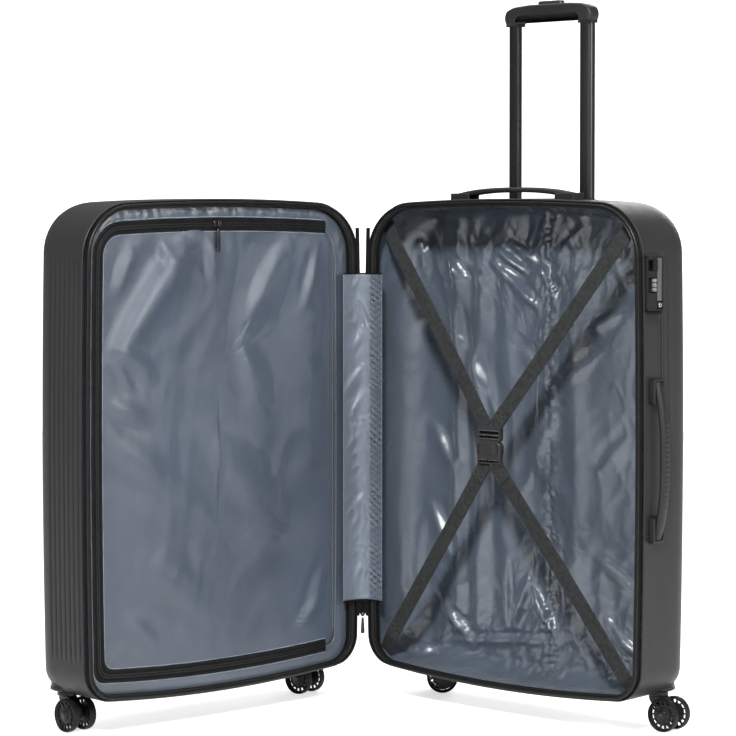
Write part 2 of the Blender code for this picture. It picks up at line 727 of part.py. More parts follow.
def caster(name, half, u, toe, mats):
    """One double-wheel caster. `toe` is the world heading of its trail, in degrees."""
    black, dark, metal = mats
    sign = HALF_SIGN[half]
    heading = math.radians(toe) + sign * HALF_ANGLE
    centre = (u, CASTER_V, 0.0)

    def put(bm, part, pivot, mat, smooth=35.0):
        """Takes geometry given along the trail from the swivel axis."""
        turn = Matrix.Rotation(heading, 4, "Z")
        for vert in bm.verts:
            p = turn @ vert.co
            vert.co = Vector((u + sign * p.x, CASTER_V + p.y, p.z))
        q = turn @ Vector(pivot)
        home = (u + sign * q.x, CASTER_V + q.y, q.z)
        return finish(f"{name}_{part}", half, bm, home, mat, smooth=smooth, turn=heading)

    housing = tube_between(bmesh.new(), (u, CASTER_V, 0.0580), (u, CASTER_V, 0.0742), POCKET_R - CLEAR, 24)
    body = finish(f"{name}_housing", half, housing, centre, black, smooth=35)
    bevel(body, 0.0015, 1)

    web = [
        (-0.0125, 0.0515),
        (0.0125, 0.0515),
        (0.0275, 0.0360),
        (0.0285, 0.0220),
        (0.0230, 0.0165),
        (0.0150, 0.0170),
        (0.0020, 0.0290),
        (-0.0115, 0.0420),
    ]
    bm = prism(bmesh.new(), web, -0.0078, 0.0078, lambda p, q, c: (p, c, q))
    fork = put(bm, "fork", (0, 0, 0.0577), dark)
    neck = tube_between(bmesh.new(), (0, 0, 0.0510), (0, 0, 0.0577), 0.0150, 24)
    boolean(fork, put(neck, "neck", (0, 0, 0), None), "UNION")
    hole = tube_between(bmesh.new(), (TRAIL, -0.03, WHEEL_R), (TRAIL, 0.03, WHEEL_R), AXLE_R + 0.0003, 12)
    boolean(fork, put(hole, "fork_bore", (0, 0, 0), None))
    bar = tube_between(bmesh.new(), (TRAIL, -0.0215, WHEEL_R), (TRAIL, 0.0215, WHEEL_R), AXLE_R, 12)
    put(bar, "axle", (TRAIL, 0, WHEEL_R), metal)
    for k, s in enumerate((-1, 1)):
        bm = wheel(bmesh.new(), s * WHEEL_OUT)
        for vert in bm.verts:
            vert.co += Vector((TRAIL, 0, WHEEL_R))
        put(bm, f"wheel_{k + 1}", (TRAIL, s * WHEEL_OUT, WHEEL_R), black)


def casters(mats):
    near, far = caster_columns()
    caster("caster_1", "trolley", near, 0.0, mats)
    caster("caster_2", "trolley", far, -42.0, mats)
    caster("caster_3", "lid", near, -40.0, mats)
    caster("caster_4", "lid", far, -48.0, mats)


def build():
    shell_mat = paint("moulded_shell", (0.040, 0.041, 0.042), 0.45)
    cloth = paint("lining_cloth", (0.115, 0.140, 0.185), 0.55)
    panel_cloth = paint("panel_cloth", (0.120, 0.150, 0.190), 0.6)
    gusset_cloth = paint("gusset_cloth", (0.27, 0.31, 0.37), 0.5)
    tape = paint("zip_tape", (0.012, 0.012, 0.013), 0.8)
    web = paint("strap_webbing", (0.045, 0.045, 0.043), 0.85)
    plastic = paint("black_plastic", (0.014, 0.014, 0.015), 0.4)
    dark = paint("dark_plastic", (0.022, 0.022, 0.023), 0.45)
    tube_mat = paint("anodised_tube", (0.030, 0.030, 0.032), 0.32, 1.0)
    inner_mat = paint("anodised_inner_tube", (0.045, 0.045, 0.047), 0.30, 1.0)
    steel = paint("plated_steel", (0.45, 0.45, 0.45), 0.3, 1.0)
    lock_mat = paint("lock_plastic", (0.085, 0.085, 0.085), 0.4)
    gunmetal = paint("slider_metal", (0.06, 0.06, 0.06), 0.35, 1.0)

    back = shell("back_shell", "trolley", shell_mat)
    shell("front_shell", "lid", shell_mat)
    lining("back_lining", "trolley", cloth, TROLLEY_LINING_BACK, False)
    lining("front_lining", "lid", cloth, LID_LINING_BACK, True)
    zip_band("back_zip_band", "trolley", tape)
    zip_band("front_zip_band", "lid", tape)
    divider_panel("divider_panel", panel_cloth)
    hinge_line = (PANEL_HINGE, RIM_V, 0.41)
    divider_tape("divider_zip_outer", -SEAM_GAP - TAPE_WIDE, (0, 0, 0.41), tape)
    divider_tape("divider_zip_inner", SEAM_GAP, hinge_line, tape)
    divider_slider(gunmetal, gunmetal)
    hinge_gusset(gusset_cloth)
    main_slider(gunmetal, gunmetal)
    straps(web)
    buckle(plastic)
    trolley(tube_mat, inner_mat, plastic, back)
    carry_handles(back, plastic, dark)
    lock(back, lock_mat, plastic, steel)
    casters((plastic, dark, steel))


clear_scene()
CASE = make_collection("suitcase")
CUTTERS = make_collection("cutters")
build()
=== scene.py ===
"""Large hard-shell suitcase, standing open like a book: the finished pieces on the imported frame."""

import math

import bmesh
import bpy
import numpy as np
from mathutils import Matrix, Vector, noise


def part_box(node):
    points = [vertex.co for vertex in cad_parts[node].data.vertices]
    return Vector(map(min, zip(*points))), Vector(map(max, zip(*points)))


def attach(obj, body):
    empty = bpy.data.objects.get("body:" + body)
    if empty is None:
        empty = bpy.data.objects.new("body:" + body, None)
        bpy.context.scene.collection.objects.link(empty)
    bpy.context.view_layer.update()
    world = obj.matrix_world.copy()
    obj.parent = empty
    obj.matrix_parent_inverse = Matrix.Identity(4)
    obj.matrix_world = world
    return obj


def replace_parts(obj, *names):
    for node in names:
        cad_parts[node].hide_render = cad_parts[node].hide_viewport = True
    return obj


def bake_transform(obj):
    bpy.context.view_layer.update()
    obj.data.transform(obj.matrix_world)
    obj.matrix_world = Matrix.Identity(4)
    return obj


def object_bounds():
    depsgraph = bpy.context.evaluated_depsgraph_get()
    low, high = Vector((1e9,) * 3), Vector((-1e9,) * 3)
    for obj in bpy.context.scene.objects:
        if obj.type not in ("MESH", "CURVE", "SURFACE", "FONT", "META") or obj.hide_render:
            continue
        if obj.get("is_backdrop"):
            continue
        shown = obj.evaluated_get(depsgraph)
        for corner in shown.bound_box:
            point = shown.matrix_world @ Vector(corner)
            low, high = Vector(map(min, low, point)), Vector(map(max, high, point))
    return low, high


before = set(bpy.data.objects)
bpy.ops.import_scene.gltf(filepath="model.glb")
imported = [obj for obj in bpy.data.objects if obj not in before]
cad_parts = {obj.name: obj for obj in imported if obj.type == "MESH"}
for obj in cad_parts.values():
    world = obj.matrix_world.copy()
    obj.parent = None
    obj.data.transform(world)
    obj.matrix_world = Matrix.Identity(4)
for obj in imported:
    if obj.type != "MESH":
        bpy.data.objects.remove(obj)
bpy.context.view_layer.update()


# ---- Shells ----------------------------------------------------------------------------
# Two vacuum-formed ABS trays, 3 mm thick, matt black with a fine moulded grain. Each has
# raised ribs down its broad face and its side walls, and deep pockets for the casters.

SWING = math.radians(42.0)  # each half stands this far round from lying flat
HINGE = np.array((-0.0054, 0.1360, 0.0))  # foot of the line that the halves turn on
WIDTH, LOW, HIGH = 0.531, 0.0425, 0.7805
GAP = 0.002  # hinge line to shell
RIM, BACK = 0.010, 0.145  # mouth edge and back of a shell, from the closing plane
ROUND_TOP, ROUND_LOW = 0.075, 0.043  # corner radii
BULGE_SIDE, BULGE_TOP, BULGE_LOW = 0.0052, 0.0100, 0.0140
ROLL_SIDE, ROLL_TOP, ROLL_DEEP = 0.060, 0.030, 0.055  # the rolled edge round the back
CASTER_U, CASTER_V = (0.049, 0.4905), 0.105
MID_U = GAP + WIDTH / 2


def on_case(half, points):
    """Row-frame points from (u across the mouth, v into the shell, z up) on one half."""
    p = np.asarray(points, float).reshape(-1, 3)
    side = 1.0 if half == "trolley_half" else -1.0
    c, s = math.cos(SWING), math.sin(SWING)
    x = side * (p[:, 0] * c + p[:, 1] * s)
    return np.stack([x, p[:, 1] * c - p[:, 0] * s, p[:, 2]], 1) + HINGE


def mouth_line(hinge, far, rise, corner=12, upright=24, level=16):
    """The case's outline (u, z), drawn in from its hinge, far and level edges."""
    u0, u1 = GAP + BULGE_SIDE, GAP + WIDTH - BULGE_SIDE
    z0, z1 = LOW + BULGE_LOW, HIGH - BULGE_TOP
    mid_z, half_u, half_z = (z0 + z1) / 2, (u1 - u0) / 2, (z1 - z0) / 2
    draw_in = max(min(hinge, far), rise)
    top, low = max(ROUND_TOP - draw_in, 0.014), max(ROUND_LOW - draw_in, 0.014)
    a, b, c, d = u0 + hinge, u1 - far, z0 + rise, z1 - rise
    centres = ((b - top, d - top, top), (a + top, d - top, top), (a + low, c + low, low),
               (b - low, c + low, low))
    arcs = []
    for k, (cu, cz, r) in enumerate(centres):
        t = np.radians(90.0 * k + np.linspace(0, 90, corner + 1))
        arcs.append(np.stack([cu + r * np.cos(t), cz + r * np.sin(t)], 1))
    line = []
    for k, arc in enumerate(arcs):
        n = level if k % 2 == 0 else upright
        f = (np.arange(1, n) / n)[:, None]
        line += [arc, arc[-1] + (arcs[(k + 1) % 4][0] - arc[-1]) * f]
    line = np.concatenate(line)
    x, y = (line[:, 0] - MID_U) / half_u, (line[:, 1] - mid_z) / half_z
    bulge = np.where(y > 0, BULGE_TOP, BULGE_LOW)
    return line + np.stack([BULGE_SIDE * x * (1 - y * y), bulge * y * (1 - x * x)], 1)


def ring(hinge, far, rise, v, **steps):
    line = mouth_line(hinge, far, rise, **steps)
    return np.stack([line[:, 0], np.full(len(line), v), line[:, 1]], 1)


def rolled(draw_in, back, walls=6, turns=10):
    """(side, rise, v) down a wall that lies draw_in inside the shell, and round to its back."""
    deep = ROLL_DEEP - draw_in
    rows = [(draw_in, draw_in, v) for v in np.linspace(0.0125, back - deep, walls)[:-1]]
    for t in np.linspace(0, math.pi / 2, turns + 1):
        side = draw_in + (ROLL_SIDE - draw_in) * (1 - math.cos(t))
        rise = draw_in + (ROLL_TOP - draw_in) * (1 - math.cos(t))
        rows.append((side, rise, back - deep + deep * math.sin(t)))
    return rows


def loft(rows, closed=True, caps=True):
    """Points and faces through rows of equal length."""
    n = len(rows[0])
    points = np.concatenate(rows)
    faces = []
    for k in range(len(rows) - 1):
        for i in range(n if closed else n - 1):
            j = (i + 1) % n
            faces.append((k * n + i, k * n + j, (k + 1) * n + j, (k + 1) * n + i))
    if caps:
        faces.append(tuple(range(n)))
        faces.append(tuple(range(len(points) - n, len(points))))
    return points, faces


class Maker:
    """Gathers closed shapes, each with its own finish, into one object."""

    def __init__(self, half=None):
        self.half, self.points, self.faces, self.finish, self.count = half, [], [], [], 0

    def add(self, shape, finish=0, place=None):
        points, faces = shape
        points = np.asarray(points, float)
        if place is not None:
            points = place(points)
        self.points.append(points)
        self.faces += [tuple(i + self.count for i in f) for f in faces]
        self.finish += [finish] * len(faces)
        self.count += len(points)

    def make(self, name, finishes, smooth=35.0, closed=True):
        points = np.concatenate(self.points)
        if self.half:
            points = on_case(self.half, points)
        mesh = bpy.data.meshes.new(name)
        mesh.from_pydata(points.tolist(), [], self.faces)
        for finish in finishes:
            mesh.materials.append(finish)
        mesh.polygons.foreach_set("material_index", self.finish)
        if closed:
            bm = bmesh.new()
            bm.from_mesh(mesh)
            bmesh.ops.remove_doubles(bm, verts=bm.verts, dist=1e-6)
            bmesh.ops.recalc_face_normals(bm, faces=bm.faces)
            bm.to_mesh(mesh)
            bm.free()
        mesh.shade_smooth()
        mesh.set_sharp_from_angle(angle=math.radians(smooth))
        obj = bpy.data.objects.new(name, mesh)
        bpy.context.scene.collection.objects.link(obj)
        return obj


def settle(obj):
    """Applies the object's modifiers."""
    graph = bpy.context.evaluated_depsgraph_get()
    mesh = bpy.data.meshes.new_from_object(obj.evaluated_get(graph))
    obj.modifiers.clear()
    obj.data = mesh
    return obj


def block(u, v, z):
    """A box from three (low, high) pairs, in the axes of a half."""
    corners = [(a, b, c) for c in z for b in v for a in u]
    faces = [(0, 1, 3, 2), (4, 6, 7, 5), (0, 4, 5, 1), (2, 3, 7, 6), (0, 2, 6, 4), (1, 5, 7, 3)]
    return np.array(corners, float), faces


def lathe(profile, around=32, axis=2):
    """A solid turned from (radius, height) pairs about one axis through the origin."""
    rows = []
    for t in np.linspace(0, 2 * math.pi, around, endpoint=False):
        row = np.zeros((len(profile), 3))
        for k, (r, h) in enumerate(profile):
            row[k, (axis + 1) % 3], row[k, (axis + 2) % 3], row[k,
                                                                axis] = r * math.cos(t), r * math.sin(t), h
        rows.append(row)
    points, n = np.concatenate(rows), len(profile)
    faces = []
    for i in range(around):
        a, b = i * n, ((i + 1) % around) * n
        faces += [(a + k, a + k + 1, b + k + 1, b + k) for k in range(n - 1)]
    closed_loop = profile[0][0] > 1e-6 and profile[-1][0] > 1e-6
    if closed_loop:
        faces += [(i * n + n - 1, i * n, ((i + 1) % around) * n, ((i + 1) % around) * n + n - 1)
                  for i in range(around)]
    return points, faces


def carve(obj, half, shapes):
    """Cuts shapes, given in the axes of a half, out of an object."""
    maker = Maker(half)
    for shape in shapes:
        maker.add(shape)
    cutter = maker.make("cutter", [])
    mod = obj.modifiers.new("carve", "BOOLEAN")
    mod.solver, mod.object = "EXACT", cutter
    settle(obj)
    bpy.data.objects.remove(cutter)
    return obj


def moved(shape, by):
    return shape[0] + np.asarray(by, float), shape[1]


def join(obj, others):
    """Adds the meshes of other objects, which share its materials, to one object."""
    bm = bmesh.new()
    for o in (obj, *others):
        bm.from_mesh(o.data)
    bm.to_mesh(obj.data)
    bm.free()
    for o in others:
        bpy.data.objects.remove(o)
    return obj


class Finish:
    """A Principled material with the nodes that vary its colour, roughness and relief."""

    def __init__(self, name, colour, rough, metal=0.0, specular=0.5, turn=0.0):
        self.mat = bpy.data.materials.new(name)
        self.mat.use_nodes = True
        self.tree = self.mat.node_tree
        self.shader = self.tree.nodes["Principled BSDF"]
        self.set("Base Color", (*colour, 1.0))
        self.set("Roughness", rough)
        self.set("Metallic", metal)
        self.set("Specular IOR Level", specular)
        self.colour, self.relief = colour, None
        coord = self.tree.nodes.new("ShaderNodeTexCoord")
        mapping = self.tree.nodes.new("ShaderNodeMapping")
        mapping.inputs["Rotation"].default_value = (0.0, 0.0, turn)
        self.link(coord.outputs["Object"], mapping.inputs["Vector"])
        self.where = mapping.outputs["Vector"]

    def set(self, socket, value):
        self.shader.inputs[socket].default_value = value

    def link(self, a, b):
        self.tree.links.new(a, b)

    def stretched(self, scale):
        mapping = self.tree.nodes.new("ShaderNodeMapping")
        mapping.inputs["Scale"].default_value = scale
        self.link(self.where, mapping.inputs["Vector"])
        return mapping.outputs["Vector"]

    def speckle(self, scale, detail=3.0, stretch=None, rough=0.55):
        node = self.tree.nodes.new("ShaderNodeTexNoise")
        node.inputs["Scale"].default_value = scale
        node.inputs["Detail"].default_value = detail
        node.inputs["Roughness"].default_value = rough
        self.link(self.stretched(stretch) if stretch else self.where, node.inputs["Vector"])
        return node.outputs["Fac"]

    def threads(self, pitch, direction):
        node = self.tree.nodes.new("ShaderNodeTexWave")
        node.wave_type, node.bands_direction = "BANDS", direction
        node.inputs["Scale"].default_value = 0.314 / pitch
        node.inputs["Distortion"].default_value = 0.4
        node.inputs["Detail"].default_value = 1.0
        self.link(self.where, node.inputs["Vector"])
        return node.outputs["Fac"]

    def shade(self, fac, dark, light, low=0.35, high=0.65):
        """Colour that runs between two tints with a pattern."""
        ramp = self.tree.nodes.new("ShaderNodeValToRGB")
        ramp.color_ramp.elements[0].position, ramp.color_ramp.elements[1].position = low, high
        ramp.color_ramp.elements[0].color = (*[c * dark for c in self.colour], 1.0)
        ramp.color_ramp.elements[1].color = (*[min(c * light, 1.0) for c in self.colour], 1.0)
        self.link(fac, ramp.inputs["Fac"])
        self.link(ramp.outputs["Color"], self.shader.inputs["Base Color"])
        return self

    def gloss(self, fac, smooth, rough):
        """Roughness that runs between two values with a pattern."""
        node = self.tree.nodes.new("ShaderNodeMapRange")
        node.inputs["To Min"].default_value, node.inputs["To Max"].default_value = smooth, rough
        self.link(fac, node.inputs["Value"])
        self.link(node.outputs["Result"], self.shader.inputs["Roughness"])
        return self

    def bump(self, fac, height, strength=1.0):
        node = self.tree.nodes.new("ShaderNodeBump")
        node.inputs["Distance"].default_value = height
        node.inputs["Strength"].default_value = strength
        self.link(fac, node.inputs["Height"])
        if self.relief is not None:
            self.link(self.relief, node.inputs["Normal"])
        self.relief = node.outputs["Normal"]
        self.link(self.relief, self.shader.inputs["Normal"])
        return self


moulded_abs = Finish("moulded_abs", (0.021, 0.021, 0.0208), 0.52, specular=0.22)
moulded_abs.shade(moulded_abs.speckle(3.5, 4.0), 0.86, 1.14)
moulded_abs.gloss(moulded_abs.speckle(60.0, 2.0), 0.40, 0.54)
moulded_abs.bump(moulded_abs.speckle(900.0, 2.0), 0.00022, 0.55)
moulded_abs.bump(moulded_abs.speckle(9.0, 2.0), 0.0012, 0.18)

RIB_WIDE, RIB_HIGH, RIB_PITCH = 0.0084, 0.0010, 0.0115


def side_u(v, z, hinge_side=False):
    """Where the outside of a side wall lies at depth v and height z."""
    deep = max(v - (BACK - ROLL_DEEP), 0.0) / ROLL_DEEP
    side = ROLL_SIDE * (1 - math.sqrt(max(1 - deep * deep, 0.0)))
    z0, z1 = LOW + BULGE_LOW, HIGH - BULGE_TOP
    y = (z - (z0 + z1) / 2) / ((z1 - z0) / 2)
    u = WIDTH / 2 - BULGE_SIDE - side
    u += BULGE_SIDE * (u / (WIDTH / 2 - BULGE_SIDE)) * (1 - y * y)
    return MID_U - u if hinge_side else MID_U + u


def rib(centre, out, across, wide=RIB_WIDE, high=RIB_HIGH):
    """A raised band along centre points, with its ends run out to nothing."""
    rows, n = [], len(centre)
    for k in range(n):
        f = min(k, n - 1 - k) / 2.0
        h = high * min(f, 1.0) - 0.0002
        o, s = np.asarray(out[k], float), np.asarray(across[k], float)
        edge = wide / 2 * (0.55 + 0.45 * min(f, 1.0))
        rows.append(np.array([centre[k] + s * x + o * y for x, y in (
            (-edge, -0.0012), (-edge, h * 0.55), (-edge + 0.0011, h), (edge - 0.0011, h), (edge, h * 0.55),
                                                                     (edge, -0.0012))]))
    return loft(rows)


def wall_rib(v, low, high, hinge_side=False):
    heights = np.concatenate([[low, low + 0.009], np.linspace(low + 0.018, high - 0.018, 14),
                              [high - 0.009, high]])
    centre = [np.array((side_u(v, z, hinge_side), v, z)) for z in heights]
    d = 0.001
    slope = (side_u(v + d, 0.41, hinge_side) - side_u(v - d, 0.41, hinge_side)) / (2 * d)
    sign = -1.0 if hinge_side else 1.0
    out = np.array((1.0, -slope, 0.0)) * sign / math.hypot(1.0, slope)
    across = np.array((slope, 1.0, 0.0)) / math.hypot(1.0, slope)
    return rib(centre, [out] * len(centre), [across] * len(centre))


def face_rib(u, low, high):
    heights = np.concatenate([[low, low + 0.009], np.linspace(low + 0.018, high - 0.018, 6),
                              [high - 0.009, high]])
    centre = [np.array((u, BACK, z)) for z in heights]
    return rib(centre, [np.array((0.0, 1.0, 0.0))] * len(centre), [np.array((1.0, 0.0, 0.0))] * len(centre))


def shell(name, half, openings, far_ribs):
    rows = [(s, r, v) for s, r, v in reversed(rolled(0.003, BACK - 0.003))]
    rows += [(0.003, 0.003, RIM + 0.0010), (0.0022, 0.0022, RIM), (0.0010, 0.0010, RIM),
             (0.0, 0.0, RIM + 0.0010)]
    rows += rolled(0.0, BACK)
    maker = Maker(half)
    maker.add(loft([ring(s, s, r, v) for s, r, v in rows]))
    tray = maker.make(name, [moulded_abs.mat])
    pockets = []
    for u in CASTER_U:
        pockets.append(moved(lathe([(0, -0.01), (0.0258, -0.01), (0.0258, 0.0748), (0, 0.0748)], 40),
                             (u, CASTER_V, 0)))
    carve(tray, half, pockets + openings)
    ribs = Maker(half)
    for k in range(31):
        u = MID_U + (k - 15) * RIB_PITCH
        under_cup = half == "trolley_half" and abs(u - 0.2725) < 0.098
        ribs.add(face_rib(u, 0.105, 0.715 if under_cup else 0.730))
    for v, low, high in far_ribs:
        ribs.add(wall_rib(v, low, high))
    for k in range(5):
        ribs.add(wall_rib(0.030 + k * RIB_PITCH, 0.115, 0.690, hinge_side=True))
    join(tray, [ribs.make(name + "_ribs", [moulded_abs.mat])])
    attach(tray, half)
    return tray


lid_ribs = [(0.0215 + k * RIB_PITCH, 0.105, 0.700) for k in range(7)]
lid_shell = shell("lid_shell_finish", "lid_half", [], lid_ribs)
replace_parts(lid_shell, "front_shell")

trolley_ribs = [(0.0605, 0.448, 0.702), (0.0735, 0.448, 0.702)]
case_openings = [
    block((0.1837, 0.3613), (0.1097, 0.1433), (0.7302, 0.80)),
    block((0.5247, 0.56), (0.0112, 0.0508), (0.6187, 0.6973)),
]
trolley_shell = shell("trolley_shell_finish", "trolley_half", case_openings, trolley_ribs)
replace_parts(trolley_shell, "back_shell")


# ---- Rim zips --------------------------------------------------------------------------
# The main zip is sewn to both rims: a black woven tape between two piping cords, with one
# row of moulded teeth on each side along the closing plane.

tape_weave = Finish("zip_tape_weave", (0.0050, 0.0050, 0.0054), 0.78, specular=0.12)
tape_weave.shade(tape_weave.speckle(45.0, 3.0), 0.75, 1.5)
tape_weave.bump(tape_weave.threads(0.0009, "Z"), 0.00025, 0.5)
tape_weave.bump(tape_weave.speckle(700.0, 2.0), 0.0002, 0.5)
tape_stripe = Finish("zip_tape_stripe", (0.022, 0.022, 0.021), 0.72, specular=0.15)
tape_stripe.shade(tape_stripe.speckle(60.0, 3.0), 0.7, 1.25)
tape_stripe.bump(tape_stripe.threads(0.0011, "Z"), 0.0003, 0.6)
piping = Finish("piping_cord", (0.0050, 0.0050, 0.0055), 0.42, specular=0.3)
piping.shade(piping.speckle(80.0, 2.0), 0.7, 1.6)
piping.bump(piping.speckle(500.0, 2.0), 0.0003, 0.4)
zip_nylon = Finish("zip_teeth_nylon", (0.0085, 0.0085, 0.009), 0.34, specular=0.4)
zip_nylon.gloss(zip_nylon.speckle(200.0, 2.0), 0.24, 0.42)


def cord_round(line, radius, sides=7, flat=1.0, closed=True):
    """A cord along a line of points in the axes of a half; the line lies in one plane of constant v."""
    line = np.asarray(line, float)
    n = len(line)
    if closed:
        run = np.roll(line, -1, 0) - np.roll(line, 1, 0)
    else:
        run = np.gradient(line, axis=0)
    run /= np.linalg.norm(run, axis=1)[:, None]
    up = np.array((0.0, 1.0, 0.0))
    side = np.cross(run, up)
    side /= np.linalg.norm(side, axis=1)[:, None]
    over = np.cross(side, run)
    rows = []
    for t in np.linspace(0, 2 * math.pi, sides, endpoint=False):
        rows.append(line + radius * (math.cos(t) * side + flat * math.sin(t) * over))
    points = np.stack(rows, 1).reshape(-1, 3)
    faces = []
    for i in range(n if closed else n - 1):
        j = (i + 1) % n
        for k in range(sides):
            m = (k + 1) % sides
            faces.append((i * sides + k, i * sides + m, j * sides + m, j * sides + k))
    if not closed:
        faces += [tuple(range(sides)), tuple(range((n - 1) * sides, n * sides))]
    return points, faces


def evenly(line, pitch, closed=True):
    """Points every `pitch` along a line, with the direction of the line at each."""
    line = np.asarray(line, float)
    if closed:
        line = np.concatenate([line, line[:1]])
    step = np.linalg.norm(np.diff(line, axis=0), axis=1)
    along = np.concatenate([[0.0], np.cumsum(step)])
    count = int(along[-1] / pitch)
    at = (np.arange(count) + 0.5) * along[-1] / count
    points = np.stack([np.interp(at, along, line[:, k]) for k in range(3)], 1)
    ahead = np.stack([np.interp(at + 0.0005, along, line[:, k]) for k in range(3)], 1)
    back = np.stack([np.interp(at - 0.0005, along, line[:, k]) for k in range(3)], 1)
    run = ahead - back
    return points, run / np.linalg.norm(run, axis=1)[:, None]


def teeth(line, pitch, long, wide, high, offset, closed=True):
    """A row of small teeth across a line, each `offset` to its side."""
    points, faces = [], []
    up = np.array((0.0, 1.0, 0.0))
    for p, run in zip(*evenly(line, pitch, closed)):
        side = np.cross(run, up)
        c, n = p + side * offset, len(points)
        for h, shrink in ((-high, 0.62), (0.0, 1.0), (high * 0.6, 1.0)):
            for a, b in ((-1, -1), (1, -1), (1, 1), (-1, 1)):
                points.append(c + run * a * wide / 2 * shrink + side * b * long / 2 + up * h)
        faces += [(n, n + 1, n + 2, n + 3), (n + 8, n + 9, n + 10, n + 11)]
        for k in (0, 4):
            for i in range(4):
                j = (i + 1) % 4
                faces.append((n + k + i, n + k + j, n + k + 4 + j, n + k + 4 + i))
    return np.array(points), faces


def band_frame(out, inn, v0, v1, crown=0.0, **steps):
    """A flat frame between two drawn-in outlines, from v0 to v1, crowned towards the front."""
    rows = [ring(*out, v1, **steps), ring(*out, v0, **steps)]
    for f in (0.25, 0.5, 0.75):
        between = [a + (b - a) * f for a, b in zip(out, inn)]
        rows.append(ring(*between, v0 - crown * math.sin(math.pi * f), **steps))
    rows += [ring(*inn, v0, **steps), ring(*inn, v1, **steps)]
    points, faces = loft(rows, caps=False)
    n, last = len(rows[0]), (len(rows) - 1) * len(rows[0])
    faces += [(i, (i + 1) % n, last + (i + 1) % n, last + i) for i in range(n)]
    return points, faces


def rim_zip(name, half):
    maker = Maker(half)
    fine = dict(corner=16, upright=30, level=20)
    out, inn = (0.0036, 0.0036, 0.0036), (0.0208, 0.0109, 0.0109)
    mid_out = (0.0092, 0.0062, 0.0062)
    mid_in = (0.0160, 0.0088, 0.0088)
    maker.add(band_frame(out, mid_out, 0.0026, 0.0096, **fine), 0)
    maker.add(band_frame(mid_out, mid_in, 0.0030, 0.0094, 0.0004, **fine), 1)
    maker.add(band_frame(mid_in, inn, 0.0026, 0.0097, **fine), 0)
    maker.add(cord_round(ring(0.0050, 0.0050, 0.0050, 0.0024, **fine), 0.0014), 2)
    maker.add(cord_round(ring(0.0190, 0.0100, 0.0100, 0.0028, **fine), 0.0010), 2)
    maker.add(cord_round(ring(0.0124, 0.0075, 0.0075, 0.0026, **fine), 0.00045, 5), 2)
    maker.add(teeth(ring(0.0062, 0.0062, 0.0062, 0.0016, **fine), 0.0024, 0.0022, 0.0014, 0.0009, 0.0), 3)
    heights = np.linspace(0.128, 0.736, 60)
    edge = [side_u(RIM, z, hinge_side=True) for z in heights]
    rows = [np.array([(u + a, v, z) for a, v in ((0.0010, 0.0007), (0.0062, 0.0018), (0.0062, 0.0034),
                                                 (0.0010, 0.0019))])
            for u, z in zip(edge, heights)]
    maker.add(loft(rows), 0)
    bead = np.array([(u + 0.0010, 0.0014, z) for u, z in zip(edge, heights)])
    maker.add(cord_round(bead, 0.0009, 6, closed=False), 2)
    band = maker.make(name, [tape_weave.mat, tape_stripe.mat, piping.mat, zip_nylon.mat], 50)
    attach(band, half)
    return band


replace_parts(rim_zip("lid_rim_zip", "lid_half"), "front_zip_band")
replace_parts(rim_zip("trolley_rim_zip", "trolley_half"), "back_zip_band")

# The slider of the main zip is parked below the gusset, on the hinge line: two plates with
# a bridge and an eye, cast in zinc and plated black, and a pull tab that hangs from it.
dark_zinc = Finish("dark_plated_zinc", (0.040, 0.040, 0.042), 0.34, metal=0.9)
dark_zinc.shade(dark_zinc.speckle(160.0, 3.0), 0.6, 1.5)
dark_zinc.gloss(dark_zinc.speckle(90.0, 3.0), 0.24, 0.48)
dark_zinc.bump(dark_zinc.speckle(600.0, 2.0), 0.0002, 0.3)


def superellipse(half_a, half_b, power=4.0, count=20):
    t = np.linspace(0, 2 * math.pi, count, endpoint=False)
    c, s = np.cos(t), np.sin(t)
    return np.stack([half_a * np.sign(c) * np.abs(c) ** (2 / power), half_b * np.sign(s)
                     * np.abs(s) ** (2 / power)], 1)


def plate(outline, thick, soft):
    """A plate in x and z with softened edges, `thick` through y, centred on the origin."""
    outline = np.asarray(outline, float)
    middle = outline.mean(0)
    rows = []
    for y, shrink in ((-thick / 2, soft), (-thick / 2 + soft, 0.0), (thick / 2 - soft, 0.0),
                      (thick / 2, soft)):
        away = outline - middle
        reach = np.linalg.norm(away, axis=1)[:, None]
        flat = middle + away * (1 - shrink / np.maximum(reach, 1e-6))
        rows.append(np.stack([flat[:, 0], np.full(len(flat), y), flat[:, 1]], 1))
    return loft(rows)


def hoop(outline, hole, thick, soft):
    """A plate with a hole of the same count of points."""
    outline, hole = np.asarray(outline, float), np.asarray(hole, float)
    rows = []
    for y, f in ((-thick / 2, 0.22), (-thick / 2 + soft, 0.0), (thick / 2 - soft, 0.0), (thick / 2, 0.22)):
        flat = outline + (hole - outline) * f * min(1.0, soft / (thick / 2) + 0.3)
        rows.append(np.stack([flat[:, 0], np.full(len(flat), y), flat[:, 1]], 1))
    for y in (thick / 2, -thick / 2):
        rows.append(np.stack([hole[:, 0], np.full(len(hole), y), hole[:, 1]], 1))
    points, faces = loft(rows, caps=False)
    n, last = len(outline), (len(rows) - 1) * len(outline)
    faces += [(i, (i + 1) % n, last + (i + 1) % n, last + i) for i in range(n)]
    return points, faces


